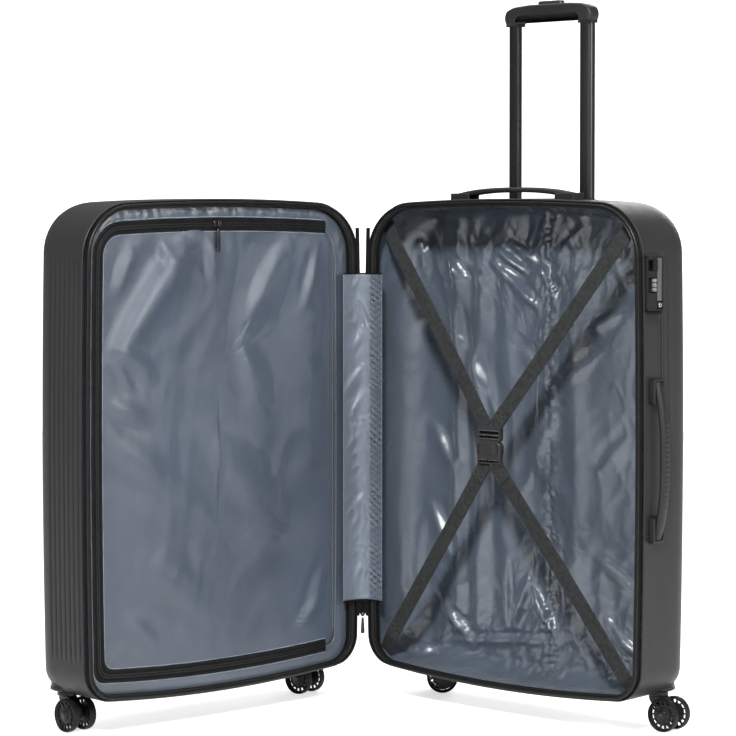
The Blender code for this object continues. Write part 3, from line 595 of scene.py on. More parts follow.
slider_foot = HINGE + np.array((0.0, 0.0, 0.1361))
maker = Maker()
body_line = superellipse(0.0046, 0.0078, 3.0, 24)
body_hole = superellipse(0.0016, 0.0020, 2.2, 24) + (0.0, -0.0036)
maker.add(moved(hoop(body_line, body_hole, 0.0014, 0.0004), slider_foot + (0, -0.0025, 0)))
maker.add(moved(hoop(body_line, body_hole, 0.0014, 0.0004), slider_foot + (0, 0.0025, 0)))
maker.add(moved(plate(superellipse(0.0012, 0.0030, 3.0, 16), 0.0044, 0.0003), slider_foot + (0, 0, 0.0055)))
eye_out, eye_in = superellipse(0.0030, 0.0034, 2.4, 20), superellipse(0.0015, 0.0018, 2.2, 20)
maker.add(moved(hoop(eye_out, eye_in, 0.0020, 0.0004), slider_foot + (0, 0, -0.0062)))
main_slider = maker.make("main_zip_slider_cast", [dark_zinc.mat], 40)
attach(main_slider, "trolley_half")
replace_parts(main_slider, "main_zip_slider")

low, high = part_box("main_zip_pull")
pull_mid, pull_half = (low + high) / 2, (high.z - low.z) / 2
maker = Maker()
tab_line = superellipse(0.0034, pull_half, 5.0, 28)
tab_line[:, 0] *= 0.78 + 0.22 * (-tab_line[:, 1] / pull_half)
tab_hole = superellipse(0.0017, pull_half * 0.62, 4.0, 28) + (0, -0.0015)
maker.add(moved(hoop(tab_line, tab_hole, 0.0020, 0.0005), pull_mid))
maker.add(moved(plate(superellipse(0.0019, pull_half * 0.60, 4.0, 20) + (0, -0.0015), 0.0010, 0.0002),
                pull_mid))
main_pull = maker.make("main_zip_pull_tab", [dark_zinc.mat], 40)
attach(main_pull, "main_zip_pull")
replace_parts(main_pull, "main_zip_pull")


# ---- Linings ---------------------------------------------------------------------------
# Thin satin polyester sewn to each rim and left loose in the shell. It lies in soft folds
# over the trolley tubes, in puckers along its seams, and humps over the caster pockets.

def satin(name, colour, turn, rough=0.36, dark=0.80, light=1.22):
    cloth = Finish(name, colour, rough, specular=0.80, turn=turn)
    cloth.set("Sheen Weight", 0.25)
    cloth.set("Sheen Roughness", 0.35)
    cloth.set("Anisotropic", 0.35)
    cloth.shade(cloth.speckle(7.0, 4.0, (1.0, 1.0, 0.45)), dark, light)
    cloth.gloss(cloth.speckle(16.0, 3.0), rough - 0.07, rough + 0.09)
    cloth.bump(cloth.threads(0.0011, "X"), 0.00009, 0.35)
    cloth.bump(cloth.threads(0.0011, "Z"), 0.00009, 0.35)
    cloth.bump(cloth.speckle(70.0, 5.0, (1.0, 1.0, 0.5)), 0.0011, 0.32)
    return cloth


# One satin lines both halves; the lid half's copy is tinted darker than the trolley half's as painted shade.
lining_satin = {
    "trolley_half": satin("lining_satin_trolley_half", (0.070, 0.089, 0.116), SWING, 0.25),
    "lid_half": satin("lining_satin_lid_half_painted_shade", (0.056, 0.070, 0.092), -SWING, 0.34),
}
seam_satin = Finish("lining_seam", (0.20, 0.235, 0.285), 0.45)
seam_satin.bump(seam_satin.threads(0.0016, "Z"), 0.0004, 0.6)


def crease(p, q, wide, high):
    return np.array(p, float), np.array(q, float), wide, high


def folds(u, z, creases):
    """Height of the listed folds at the points (u, z); each rises from its ends to its middle."""
    total = np.zeros(len(u))
    at = np.stack([u, z], 1)
    for p, q, wide, high in creases:
        run = q - p
        t = np.clip((at - p) @ run / (run @ run), 0.0, 1.0)
        off = at - (p + t[:, None] * run)
        side = (off @ np.array((-run[1], run[0]))) / math.hypot(*run)
        reach = np.linalg.norm(off, axis=1)
        body = np.sin(np.pi * np.clip(t, 0.04, 0.96)) ** 0.6
        lean = np.where(side > 0, 0.5, 1.0)
        total += high * body * np.exp(-((reach / (wide * lean * (0.5 + 0.5 * body))) ** 2))
        valley = np.sqrt(np.maximum(reach**2 - side**2, 0) + (side - 1.15 * wide) ** 2)
        total -= 0.45 * high * body * np.exp(-((valley / (0.7 * wide)) ** 2))
    return total


def rumple(points, seed, scale, high, sharp=0.5, squeeze=(1.0, 1.0, 0.45)):
    """Loose-cloth relief: broad swells with sharper creases where they meet."""
    out = np.zeros(len(points))
    for k, p in enumerate(points):
        a = Vector((p[0] * scale * squeeze[0] + seed, p[1] * scale * squeeze[1], p[2] * scale * squeeze[2]))
        swell = noise.noise(a)
        b = a * 2.3 + Vector((swell * 1.4, seed * 0.7, swell))
        fold = 0.5 - abs(noise.noise(b)) * 1.6
        c = a * 5.1 + Vector((seed, fold, swell * 2.0))
        fine = 0.62 - 1.25 * noise.voronoi(c * 0.55)[0][0]
        patch = 0.5 + noise.noise(a * 0.8 + Vector((3.1, seed, 7.7)))
        out[k] = swell * (1 - sharp) + sharp * (fold * 0.65 + fine * 0.35 * max(patch, 0.0))
    return out * high


def over_casters(points, room=0.0316, foot=0.0500):
    """Pushes points off the round housings of the casters, which stand up into the shell."""
    for u in CASTER_U:
        off = points - (u, CASTER_V, 0.0)
        off[:, 2] -= np.minimum(points[:, 2], foot)
        reach = (np.hypot(off[:, 0], off[:, 1]) ** 4 + off[:, 2] ** 4) ** 0.25
        push = np.where(reach < room, room / np.maximum(reach, 1e-4) - 1.0, 0.0)
        points = points + off * push[:, None]
    return points


def mouth_to_middle(back, draw, into_back=26, walls=8, turns=9, steps=None):
    """Rows of a tub-shaped sheet from its mouth down the walls and in to the middle of its back."""
    steps = steps or {}
    rows = [ring(s, s, r, v, **steps) for s, r, v in rolled(draw, back, walls, turns)]
    rows.insert(0, ring(draw, draw, draw, RIM + 0.0006, **steps))
    last = rows[-1]
    middle = np.array((MID_U, back, (LOW + HIGH) / 2))
    spine = last.copy()
    spine[:, 0] = MID_U + (last[:, 0] - MID_U) * 0.02
    spine[:, 2] = middle[2] + np.clip(last[:, 2] - middle[2], -0.13, 0.13)
    for f in np.linspace(0, 1, into_back + 1)[1:]:
        rows.append(last + (spine - last) * f)
    return rows


def sheet_normals(points, faces):
    mesh = bpy.data.meshes.new("probe")
    mesh.from_pydata(points.tolist(), [], faces)
    normals = np.zeros(len(points) * 3, np.float32)
    mesh.vertices.foreach_get("normal", normals)
    bpy.data.meshes.remove(mesh)
    return normals.reshape(-1, 3).astype(float)


def ripple(points, faces, inward, height):
    """Moves sheet points along their normals; `inward` is a point on the side they face."""
    normals = sheet_normals(points, faces)
    middle = len(points) // 2
    if (np.asarray(inward, float) - points[middle]) @ normals[middle] < 0:
        normals = -normals
    return points + normals * height[:, None]


def thicken(obj, thick, inside=0.0):
    mod = obj.modifiers.new("cloth thickness", "SOLIDIFY")
    mod.thickness, mod.offset, mod.use_even_offset = thick, inside, False
    return settle(obj)


LINING_FINE = dict(corner=14, upright=170, level=120)
TUNNELS = ((0.112, 0.0085, 0.013), (0.158, 0.0105, 0.015), (0.2035, 0.0035, 0.016), (0.3415, 0.0065, 0.017))
TROLLEY_CREASES = [crease(*c) for c in (
    ((0.193, 0.705), (0.244, 0.669), 0.0075, 0.010), ((0.216, 0.716), (0.267, 0.683), 0.006, 0.007),
    ((0.271, 0.689), (0.302, 0.626), 0.007, 0.007), ((0.319, 0.707), (0.351, 0.736), 0.009, 0.008),
    ((0.187, 0.682), (0.281, 0.607), 0.010, 0.007), ((0.040, 0.722), (0.048, 0.672), 0.008, 0.008),
    ((0.092, 0.691), (0.126, 0.656), 0.010, 0.006), ((0.085, 0.150), (0.143, 0.088), 0.009, 0.009),
    ((0.210, 0.223), (0.210, 0.118), 0.006, 0.007), ((0.252, 0.200), (0.222, 0.120), 0.010, 0.009),
    ((0.252, 0.196), (0.306, 0.114), 0.010, 0.009), ((0.106, 0.090), (0.302, 0.108), 0.008, 0.006),
    ((0.385, 0.374), (0.436, 0.422), 0.014, 0.006), ((0.365, 0.583), (0.431, 0.615), 0.012, 0.007),
    ((0.385, 0.239), (0.450, 0.204), 0.012, 0.007), ((0.060, 0.300), (0.105, 0.208), 0.014, 0.007),
    ((0.060, 0.425), (0.110, 0.349), 0.014, 0.006), ((0.328, 0.506), (0.385, 0.550), 0.010, 0.005),
    ((0.232, 0.294), (0.309, 0.232), 0.009, 0.005), ((0.300, 0.450), (0.240, 0.330), 0.018, 0.005),
    ((0.400, 0.150), (0.470, 0.100), 0.010, 0.007), ((0.120, 0.560), (0.180, 0.470), 0.020, 0.005),
)]
LID_CREASES = [crease(*c) for c in (
    ((0.10, 0.66), (0.20, 0.58), 0.014, 0.008), ((0.34, 0.68), (0.44, 0.60), 0.014, 0.008),
    ((0.12, 0.20), (0.22, 0.13), 0.012, 0.008), ((0.33, 0.15), (0.42, 0.22), 0.012, 0.008),
)]


def lining(name, half, back, creases, tunnels, seed):
    """One lining, from its seam at the rim down over the shell's walls and across its back."""
    draw = 0.0078
    rows = mouth_to_middle(back, draw, 64, 14, 12, LINING_FINE)
    points, faces = loft(rows, caps=False)
    n = len(rows[0])
    faces.append(tuple(range(len(points) - n, len(points))))
    depth = points[:, 1]
    fade = np.clip((depth - RIM - 0.002) / 0.03, 0, 1)
    wall = np.clip((depth - 0.040) / (back - 0.050), 0.0, 1.0)
    loose = rumple(points, seed, 7.0, 0.0120, 0.55, (1.0, 1.0, 0.38))
    busy = 0.16 + np.exp(-(((points[:, 0] - 0.300) / 0.045) ** 2)) * (0.5 + 0.5
                                                                      * np.sin(points[:, 2] * 11.0 + 0.6))
    busy += np.exp(-(((points[:, 2] - 0.105) / 0.065) ** 2)) + 0.8 * np.exp(-(((points[:,
        2] - 0.690) / 0.045) ** 2))
    busy += 0.5 * np.clip((points[:, 0] - 0.400) / 0.08, 0, 1)
    crumple = rumple(points + (0.3, 0.1, 0.7), seed + 5.0, 15.0, 0.0085, 0.85, (1.0, 1.0, 0.75))
    crumple += rumple(points + (0.9, 0.4, 0.2), seed + 9.0, 38.0, 0.0030, 0.9, (1.0, 1.0, 0.8))
    loose = (loose + crumple * np.minimum(busy, 1.2)) * (0.30 + 0.70 * wall)
    relief = folds(points[:, 0], points[:, 2], creases)
    for u, high, wide in tunnels:
        drift = 0.003 * np.sin(points[:, 2] * 21.0 + u * 40)
        ends = np.clip((points[:, 2] - 0.085) / 0.06, 0, 1) * np.clip((0.745 - points[:, 2]) / 0.08, 0, 1)
        relief += high * np.exp(-(((points[:, 0] - u - drift) / wide) ** 2)) * ends
    if half == "trolley_half":
        pucker = np.exp(-(((points[:, 0] - 0.291) / 0.014) ** 2))
        gathers = rumple(points, 2.2, 44.0, 0.0090, 0.9, (0.55, 1.0, 1.7))
        relief += pucker * (gathers - 0.0020 * np.exp(-(((points[:, 0] - 0.291) / 0.003) ** 2)))
    height = np.clip((loose + relief * wall) * fade, -0.0018 - 0.004 * wall, 0.020)
    points = ripple(points, faces, (MID_U, 0.0, 0.41), height)
    points = over_casters(points)
    maker = Maker(half)
    maker.add((points, faces))
    cloth = maker.make(name, [lining_satin[half].mat], 180, closed=False)
    thicken(cloth, 0.0006, -1.0 if half == "trolley_half" else 1.0)
    return cloth


trolley_lining = lining("trolley_lining_cloth", "trolley_half", 0.1020, TROLLEY_CREASES, TUNNELS, 1.7)
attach(trolley_lining, "trolley_half")
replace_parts(trolley_lining, "back_lining")

lid_lining = lining("lid_lining_cloth", "lid_half", 0.1368, LID_CREASES, (), 8.2)
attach(lid_lining, "lid_half")
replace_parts(lid_lining, "front_lining")

# A flat collar of the same cloth runs from the lid's rim to the divider's zip. It is
# gathered along the top, and a piped seam joins it to the zip tape.
COLLAR_FINE = dict(corner=18, upright=90, level=80)
collar_out = (0.0170, 0.0080, 0.0080)
collar_in = (0.0440, 0.0262, 0.0366)
rows = []
for f in np.linspace(0, 1, 12):
    between = [a + (b - a) * f for a, b in zip(collar_out, collar_in)]
    rows.append(ring(*between, 0.0112, **COLLAR_FINE))
points, faces = loft(rows, caps=False)
across = np.repeat(np.linspace(0, 1, 12), len(rows[0]))
belly = np.sin(np.pi * np.clip(across * 1.15, 0, 1))
top = np.clip((points[:, 2] - 0.66) / 0.05, 0, 1)
shirr = rumple(points * (1.0, 1.0, 0.35), 4.4, 62.0, 0.0030, 0.85, (1.0, 1.0, 1.0))
slack = rumple(points, 6.1, 24.0, 0.0016, 0.6)
points[:, 1] -= belly * (0.0014 + shirr * (0.30 + 0.95 * top) + slack)
collar = Maker("lid_half")
collar.add((points, faces))
# The collar takes the lid half's darker copy of the satin, which is painted shade.
collar = collar.make("divider_collar_cloth", [lining_satin["lid_half"].mat], 180, closed=False)
thicken(collar, 0.0006, 0.0)
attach(collar, "lid_half")


# ---- Divider ---------------------------------------------------------------------------
# A single cloth panel closes the lid half. It is hinged along a seam beside the gusset and
# zipped to the collar round its other three sides with a black coil zip.

panel_satin = satin("divider_satin", (0.041, 0.056, 0.081), -SWING, 0.42, 0.86, 1.14)
PANEL_V, TAPE_FRONT = 0.0104, 0.0083
HINGE_SEAM = 0.0465
SEAM_FAR, SEAM_RISE = 0.0265, 0.0370


def panel_rows(into=34):
    steps = dict(corner=12, upright=70, level=48)
    first = ring(HINGE_SEAM - GAP + 0.0003, SEAM_FAR + 0.0004, SEAM_RISE + 0.0004, PANEL_V, **steps)
    spine = first.copy()
    centre_u, centre_z = (HINGE_SEAM + GAP + WIDTH - SEAM_FAR) / 2, (LOW + HIGH) / 2
    spine[:, 0] = centre_u + (first[:, 0] - centre_u) * 0.02
    spine[:, 2] = centre_z + np.clip(first[:, 2] - centre_z, -0.12, 0.12)
    return [first + (spine - first) * f for f in np.linspace(0, 1, into)]


PANEL_CREASES = [crease(*c) for c in (
    ((0.335, 0.730), (0.482, 0.540), 0.030, 0.0075), ((0.478, 0.565), (0.405, 0.520), 0.016, 0.0048),
    ((0.440, 0.715), (0.470, 0.640), 0.014, 0.0036), ((0.482, 0.480), (0.420, 0.455), 0.014, 0.0036),
    ((0.480, 0.560), (0.445, 0.500), 0.010, 0.0026), ((0.300, 0.725), (0.290, 0.660), 0.012, 0.0026),
    ((0.390, 0.725), (0.370, 0.670), 0.012, 0.0026), ((0.150, 0.715), (0.220, 0.600), 0.034, 0.0040),
    ((0.085, 0.705), (0.110, 0.620), 0.010, 0.0024), ((0.070, 0.180), (0.130, 0.115), 0.008, 0.0036),
    ((0.060, 0.230), (0.105, 0.150), 0.010, 0.0026), ((0.470, 0.420), (0.380, 0.360), 0.026, 0.0028),
    ((0.300, 0.420), (0.180, 0.300), 0.040, 0.0036), ((0.420, 0.250), (0.300, 0.160), 0.036, 0.0034),
    ((0.240, 0.560), (0.200, 0.470), 0.022, 0.0030), ((0.460, 0.170), (0.400, 0.120), 0.014, 0.0024),
)]
rows = panel_rows()
points, faces = loft(rows, caps=False)
n = len(rows[0])
faces.append(tuple(range(len(points) - n, len(points))))
inside = np.repeat(np.linspace(0, 1, len(rows)), n)
tight = np.clip(inside / 0.16, 0, 1)
swell = rumple(points, 2.9, 6.5, 0.0052, 0.35, (1.0, 1.0, 0.55))
edge_pucker = rumple(points, 9.4, 34.0, 0.0024, 0.8, (1.0, 1.0, 1.0)) * (0.18 + 0.82
                                                                         * np.exp(-((inside / 0.12) ** 2)))
relief = folds(points[:, 0], points[:, 2], PANEL_CREASES)
seam_flat = np.clip((points[:, 0] - 0.066) / 0.03, 0, 1)
loose = tight * (swell + relief * 1.3) + np.clip(inside / 0.03, 0, 1) * edge_pucker
points[:, 1] -= np.clip(loose * seam_flat, -0.002, 0.0095)
maker = Maker("lid_half")
maker.add((points, faces))
panel = maker.make("divider_panel_cloth", [panel_satin.mat], 180, closed=False)
thicken(panel, 0.0008, 0.0)
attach(panel, "divider")
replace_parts(panel, "divider_panel")

seam_line = np.array([(HINGE_SEAM + 0.016, PANEL_V - 0.0004, z) for z in np.linspace(0.112, 0.722, 60)])
maker = Maker("lid_half")
maker.add(cord_round(seam_line, 0.0009, 6, closed=False))
maker.add(cord_round(seam_line - (0.0085, 0, 0), 0.0007, 6, closed=False))
panel_seam = maker.make("divider_side_seam", [panel_satin.mat], 60)
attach(panel_seam, "divider")


def zip_path(offset, end=0.070):
    """The divider's zip line moved in by `offset`: along the top, down the far side, along the bottom."""
    line = mouth_line(SEAM_FAR + offset, SEAM_FAR + offset, SEAM_RISE + offset, corner=14, upright=30,
                      level=24)
    line = np.roll(line, -int(np.flatnonzero(line[:, 0] < end)[-1]) - 1, 0)
    keep = line[line[:, 0] > end]
    head = np.array((end, np.interp(end, (keep[0, 0] - 0.02, keep[0, 0]), (keep[0, 1], keep[0, 1]))))
    tail = np.array((end, keep[-1, 1]))
    return np.concatenate([[head], keep, [tail]])


def flat_tape(inner, outer, v0, v1, waves=0.0):
    """A strip between two lines of equal count, in the plane of the mouth."""
    rows = []
    for line, v in ((inner, v1), (inner, v0), ((inner + outer) / 2, v0 - waves), (outer, v0), (outer, v1)):
        rows.append(np.stack([line[:, 0], np.full(len(line), v), line[:, 1]], 1))
    points = np.stack(rows, 1).reshape(-1, 3)
    m, faces = len(rows), []
    for i in range(len(inner) - 1):
        for k in range(m):
            j = (k + 1) % m
            faces.append((i * m + k, i * m + j, (i + 1) * m + j, (i + 1) * m + k))
    faces += [tuple(range(m)), tuple(range((len(inner) - 1) * m, len(inner) * m))]
    return points, faces


def resample(line, count):
    step = np.linalg.norm(np.diff(line, axis=0), axis=1)
    along = np.concatenate([[0.0], np.cumsum(step)])
    at = np.linspace(0, along[-1], count)
    return np.stack([np.interp(at, along, line[:, k]) for k in range(2)], 1)


def divider_tape(name, body, near, far, cad_node):
    """One side of the divider's zip: woven tape, a stitched edge and its half of the coil."""
    a, b = resample(zip_path(near), 260), resample(zip_path(far), 260)
    maker = Maker("lid_half")
    maker.add(flat_tape(a, b, TAPE_FRONT + 0.0005, 0.0101, 0.0003), 0)
    f = 0.16
    line = a + (b - a) * f
    lifted = np.stack([line[:, 0], np.full(len(line), TAPE_FRONT + 0.0002), line[:, 1]], 1)
    maker.add(cord_round(lifted, 0.0010, 6, 0.8, closed=False), 1)
    maker.add(teeth(lifted, 0.0018, 0.0021, 0.0010, 0.0006, 0.0, closed=False), 2)
    stitch = a + (b - a) * 0.82
    stitch = np.stack([stitch[:, 0], np.full(len(stitch), TAPE_FRONT + 0.0003), stitch[:, 1]], 1)
    maker.add(cord_round(stitch, 0.00035, 5, closed=False), 1)
    tape = maker.make(name, [tape_weave.mat, piping.mat, zip_nylon.mat], 45)
    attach(tape, body)
    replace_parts(tape, cad_node)


divider_tape("divider_zip_collar_side", "lid_half", -0.00015, -0.0092, "divider_zip_outer")
divider_tape("divider_zip_panel_side", "divider", 0.00015, 0.0092, "divider_zip_inner")

for name, body, offset, radius in (
    ("divider_collar_piping", "lid_half", -0.0106, 0.0009),
    ("divider_panel_piping", "divider", 0.0104, 0.0008),
):
    line = resample(zip_path(offset), 240)
    maker = Maker("lid_half")
    maker.add(cord_round(np.stack([line[:, 0], np.full(len(line), 0.0098), line[:, 1]], 1), radius, 6,
                         closed=False))
    cord = maker.make(name, [seam_satin.mat], 60)
    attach(cord, body)

# The coil zip's slider rides near the middle of the top edge; its pull hangs over the panel.
low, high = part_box("divider_slider")
slider_at = (0.2856, 0.0048, 0.7433)
maker = Maker("lid_half")
maker.add(moved(plate(superellipse(0.0074, 0.0053, 3.2, 28), 0.0018, 0.0005),
                (slider_at[0], 0.0063, slider_at[2])))
maker.add(moved(plate(superellipse(0.0060, 0.0040, 3.0, 24), 0.0012, 0.0004),
                (slider_at[0], 0.0078, slider_at[2])))
bridge = [(slider_at[0], 0.0052 - 0.0026 * math.sin(math.pi * f), slider_at[2] + 0.0042
           * math.cos(math.pi * f)) for f in np.linspace(0, 1, 12)]
rows = [np.array(p) + np.array([(x, y, 0) for x, y in superellipse(0.0016, 0.0006, 2.6, 10)])
        for p in bridge]
maker.add(loft(rows))
divider_slider = maker.make("divider_slider_cast", [dark_zinc.mat], 40)
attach(divider_slider, "divider_slider")
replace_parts(divider_slider, "divider_slider")

low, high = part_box("divider_pull")
length = high.z - low.z
maker = Maker("lid_half")
tab = superellipse(0.0040, length / 2, 5.0, 36)
tab[:, 0] *= 0.80 + 0.20 * (-tab[:, 1] / (length / 2))
hole = superellipse(0.0019, length * 0.30, 4.0, 36) - (0, 0.0015)
centre = (slider_at[0], 0.0041, (low.z + high.z) / 2)
maker.add(moved(hoop(tab, hole, 0.0020, 0.0005), centre))
maker.add(moved(plate(superellipse(0.0021, length * 0.28, 4.0, 24) - (0, 0.0030), 0.0012, 0.0002), centre))
divider_pull = maker.make("divider_pull_tab", [dark_zinc.mat], 40)
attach(divider_pull, "divider_pull")
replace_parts(divider_pull, "divider_pull")


# ---- Gusset ----------------------------------------------------------------------------
# A strip of pale satin ties the two halves together in front of the hinge. Its trolley side
# is shirred on elastic between two rows of stitching, and its ends are bound in black tape.

gusset_satin = satin("gusset_satin", (0.128, 0.155, 0.192), 0.0, 0.46, 0.82, 1.14)
# The shirred band takes a darker copy of the gusset satin: painted shade in its gathers.
shirred_satin_painted_shade = satin("gusset_satin_shirred_painted_shade", (0.092, 0.113, 0.142), 0.0, 0.42, 0.80, 1.16)
GUSSET_LOW, GUSSET_HIGH, GUSSET_HALF = 0.1545, 0.6640, 0.0405
columns, stack = 60, 300
f = np.linspace(-1, 1, columns)
z = np.linspace(GUSSET_LOW, GUSSET_HIGH, stack)
ff, zz = (a.ravel() for a in np.meshgrid(f, z))
x = ff * GUSSET_HALF * math.cos(SWING)
y = -math.sin(SWING) * GUSSET_HALF * (0.16 + 0.84 * ff * ff) - 0.0046
band = np.clip((ff - 0.36) / 0.05, 0, 1) * np.clip((0.985 - ff) / 0.05, 0, 1)
uneven = 0.7 + 0.5 * np.sin(zz * 43.0) * np.sin(zz * 101.0 + 1.0)
up_slant = np.sin(zz * 2 * math.pi / 0.0112 - (ff - 0.67) * 13.0 + 2.2 * np.sin(zz * 31.0))
down_slant = np.sin(zz * 2 * math.pi / 0.0094 + (ff - 0.67) * 15.0 + 1.7 * np.sin(zz * 47.0 + 2.0))
gather = 0.0034 * band * uneven * (np.maximum(up_slant, -0.2) + 0.55 * np.maximum(down_slant, -0.3))
GUSSET_CREASES = [crease(*c) for c in (
    ((-0.95, 0.478), (-0.05, 0.520), 0.0095, 0.0046), ((-0.60, 0.446), (0.25, 0.488), 0.0085, 0.0040),
    ((-0.40, 0.552), (0.30, 0.588), 0.0090, 0.0036), ((-0.15, 0.425), (0.34, 0.446), 0.0070, 0.0030),
    ((-0.70, 0.395), (0.10, 0.425), 0.0070, 0.0018), ((-0.20, 0.350), (0.35, 0.368), 0.0060, 0.0020),
    ((-0.40, 0.300), (0.34, 0.332), 0.0070, 0.0020), ((-0.10, 0.245), (0.36, 0.282), 0.0070, 0.0026),
    ((-0.35, 0.190), (0.34, 0.238), 0.0075, 0.0028), ((0.02, 0.168), (0.34, 0.204), 0.0060, 0.0022),
)]
ramp_creases = [(p * (0.03, 1), q * (0.03, 1), w, h) for p, q, w, h in GUSSET_CREASES]
relief = folds(ff * 0.03, zz, ramp_creases)
loose = rumple(np.stack([ff * 0.03, zz * 0 + 0.3, zz], 1), 3.3, 30.0, 0.0034, 0.75, (1.0, 1.0, 0.6))
hem = np.clip(np.minimum(zz - GUSSET_LOW, GUSSET_HIGH - zz) / 0.006, 0, 1)
edge = np.clip((1 - np.abs(ff)) / 0.08, 0, 1)
y = y - (gather + (relief * 0.75 + loose) * (1 - band * 0.7)) * hem * (0.25 + 0.75 * edge)
hem_fold = 0.0005 * (np.exp(-(((zz - GUSSET_LOW - 0.0035) / 0.0022) ** 2))
                     + np.exp(-(((GUSSET_HIGH - zz - 0.0035) / 0.0022) ** 2)))
y -= hem_fold
grid = np.stack([x, y, zz], 1) + HINGE
faces = [(r * columns + c, r * columns + c + 1, (r + 1) * columns + c + 1, (r + 1) * columns + c)
         for r in range(stack - 1) for c in range(columns - 1)]
maker = Maker()
maker.add((grid, faces))
gusset = maker.make("hinge_gusset_cloth", [gusset_satin.mat, shirred_satin_painted_shade.mat], 180, closed=False)
# Faces across the shirred band take the darker copy, which is painted shade.
for face in gusset.data.polygons:
    across = (face.center.x - HINGE[0]) / (GUSSET_HALF * math.cos(SWING))
    face.material_index = int(0.375 < across < 0.965)
thicken(gusset, 0.0006, 0.0)


def gusset_point(f, z, lift=0.0):
    return HINGE + np.array((f * GUSSET_HALF * math.cos(SWING), -math.sin(SWING) * GUSSET_HALF
                             * (0.16 + 0.84 * f * f) - 0.0046 - lift, z))


def strip_along(points, tall, thick):
    """An upright ribbon through points, `tall` high and `thick` deep."""
    rows = [np.array([p + (0, dy, dz) for dy, dz in ((-thick / 2, -tall / 2), (-thick / 2, tall / 2),
        (thick / 2, tall / 2), (thick / 2, -tall / 2))]) for p in points]
    return loft(rows)


trims = Maker()
spans = np.linspace(-1, 1, 24)
trims.add(strip_along([gusset_point(f, GUSSET_HIGH + 0.0008, 0.0002) for f in spans], 0.0022, 0.0018), 0)
trims.add(strip_along([gusset_point(f, GUSSET_LOW - 0.0012, 0.0004) for f in spans if f < 0.22], 0.0034,
                      0.0022), 0)
trims.add(strip_along([gusset_point(f, GUSSET_LOW + 0.0001, 0.0004) for f in spans if f > 0.12], 0.0016,
                      0.0018), 0)
web = np.linspace(-0.30, 0.30, 9)
trims.add(strip_along([gusset_point(f, 0.1435, -0.0015) for f in web], 0.0210, 0.0020), 0)
for k in range(9):
    z0 = 0.1345 + k * 0.0022
    trims.add(strip_along([gusset_point(f, z0, 0.0) for f in (-0.06, 0.0, 0.06)], 0.0013, 0.0022), 0)
for f in (0.365, 0.975):
    marks = []
    for z0 in np.arange(GUSSET_LOW + 0.004, GUSSET_HIGH - 0.004, 0.0042):
        marks.append(strip_along([gusset_point(f - 0.012, z0, 0.0013), gusset_point(f + 0.012, z0, 0.0013)],
                                 0.0026, 0.0007))
    for mark in marks:
        trims.add(mark, 1)
trim = trims.make("hinge_gusset_binding", [tape_weave.mat, seam_satin.mat], 45)
for piece in (gusset, trim):
    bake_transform(piece)
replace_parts(gusset, "hinge_gusset")


# ---- Packing straps --------------------------------------------------------------------
# Two V-shaped straps of dark grey webbing hold the load in the trolley half. They are sewn
# under the lining at the four corners and meet at a black plastic side-release buckle.

webbing = Finish("strap_webbing_weave", (0.032, 0.0345, 0.0345), 0.84, specular=0.12)
webbing.shade(webbing.speckle(150.0, 4.0), 0.80, 1.25)
webbing.bump(webbing.speckle(420.0, 3.0), 0.0004, 0.5)
stitch_thread = Finish("stitch_thread", (0.050, 0.050, 0.048), 0.55)
stitch_thread.bump(stitch_thread.speckle(800.0, 1.0), 0.0002, 0.3)
STRAP_WIDE, STRAP_V = 0.024, 0.0170


def webbing_strip(start, end, wide, sag, twist, stations=70, threads=12):
    """A woven strap from start to end in the axes of a half, its yarns raised in a chevron."""
    start, end = np.array(start, float), np.array(end, float)
    run = end - start
    length = np.linalg.norm(run)
    run /= length
    side = np.cross(run, (0.0, 1.0, 0.0))
    side /= np.linalg.norm(side)
    rows = []
    for k in range(stations + 1):
        f = k / stations
        c = start + run * length * f + np.array((0.0, sag * math.sin(math.pi * f), 0.0))
        turned = twist * math.sin(math.pi * min(f * 1.4, 1.0))
        s = side * math.cos(turned) + np.array((0.0, 1.0, 0.0)) * math.sin(turned)
        n = np.cross(s, run)
        row = []
        for sign in (-1, 1):
            for j in range(threads + 1):
                w = (j / threads - 0.5) * sign
                edge = 1.0 - 0.55 * (abs(w) > 0.49)
                lift = 0.00016 * ((j + k) % 2) * edge
                row.append(c + s * w * wide + n * sign * (0.00062 * edge + lift))
        rows.append(np.array(row))
    return loft(rows)


def stitch_box(centre, run, wide, long, lift):
    """A box of lockstitch with a cross in it, standing on a strap."""
    run = np.array(run, float) / np.linalg.norm(run)
    side = np.cross(run, (0.0, 1.0, 0.0))
    c = np.array(centre, float) - (0.0, lift, 0.0)
    corners = [c + side * a * wide / 2 + run * b * long / 2 for a,
               b in ((-1, -1), (1, -1), (1, 1), (-1, 1))]
    lines = [(corners[k], corners[(k + 1) % 4]) for k in range(4)] + [(corners[0], corners[2]),
                                                                      (corners[1], corners[3])]
    shapes = []
    for a, b in lines:
        count = max(int(np.linalg.norm(b - a) / 0.0032), 2)
        for k in range(count):
            p, q = a + (b - a) * (k + 0.12) / count, a + (b - a) * (k + 0.88) / count
            shapes.append(cord_round([p, (p + q) / 2 - (0, 0.0002, 0), q], 0.00034, 5, closed=False))
    return shapes


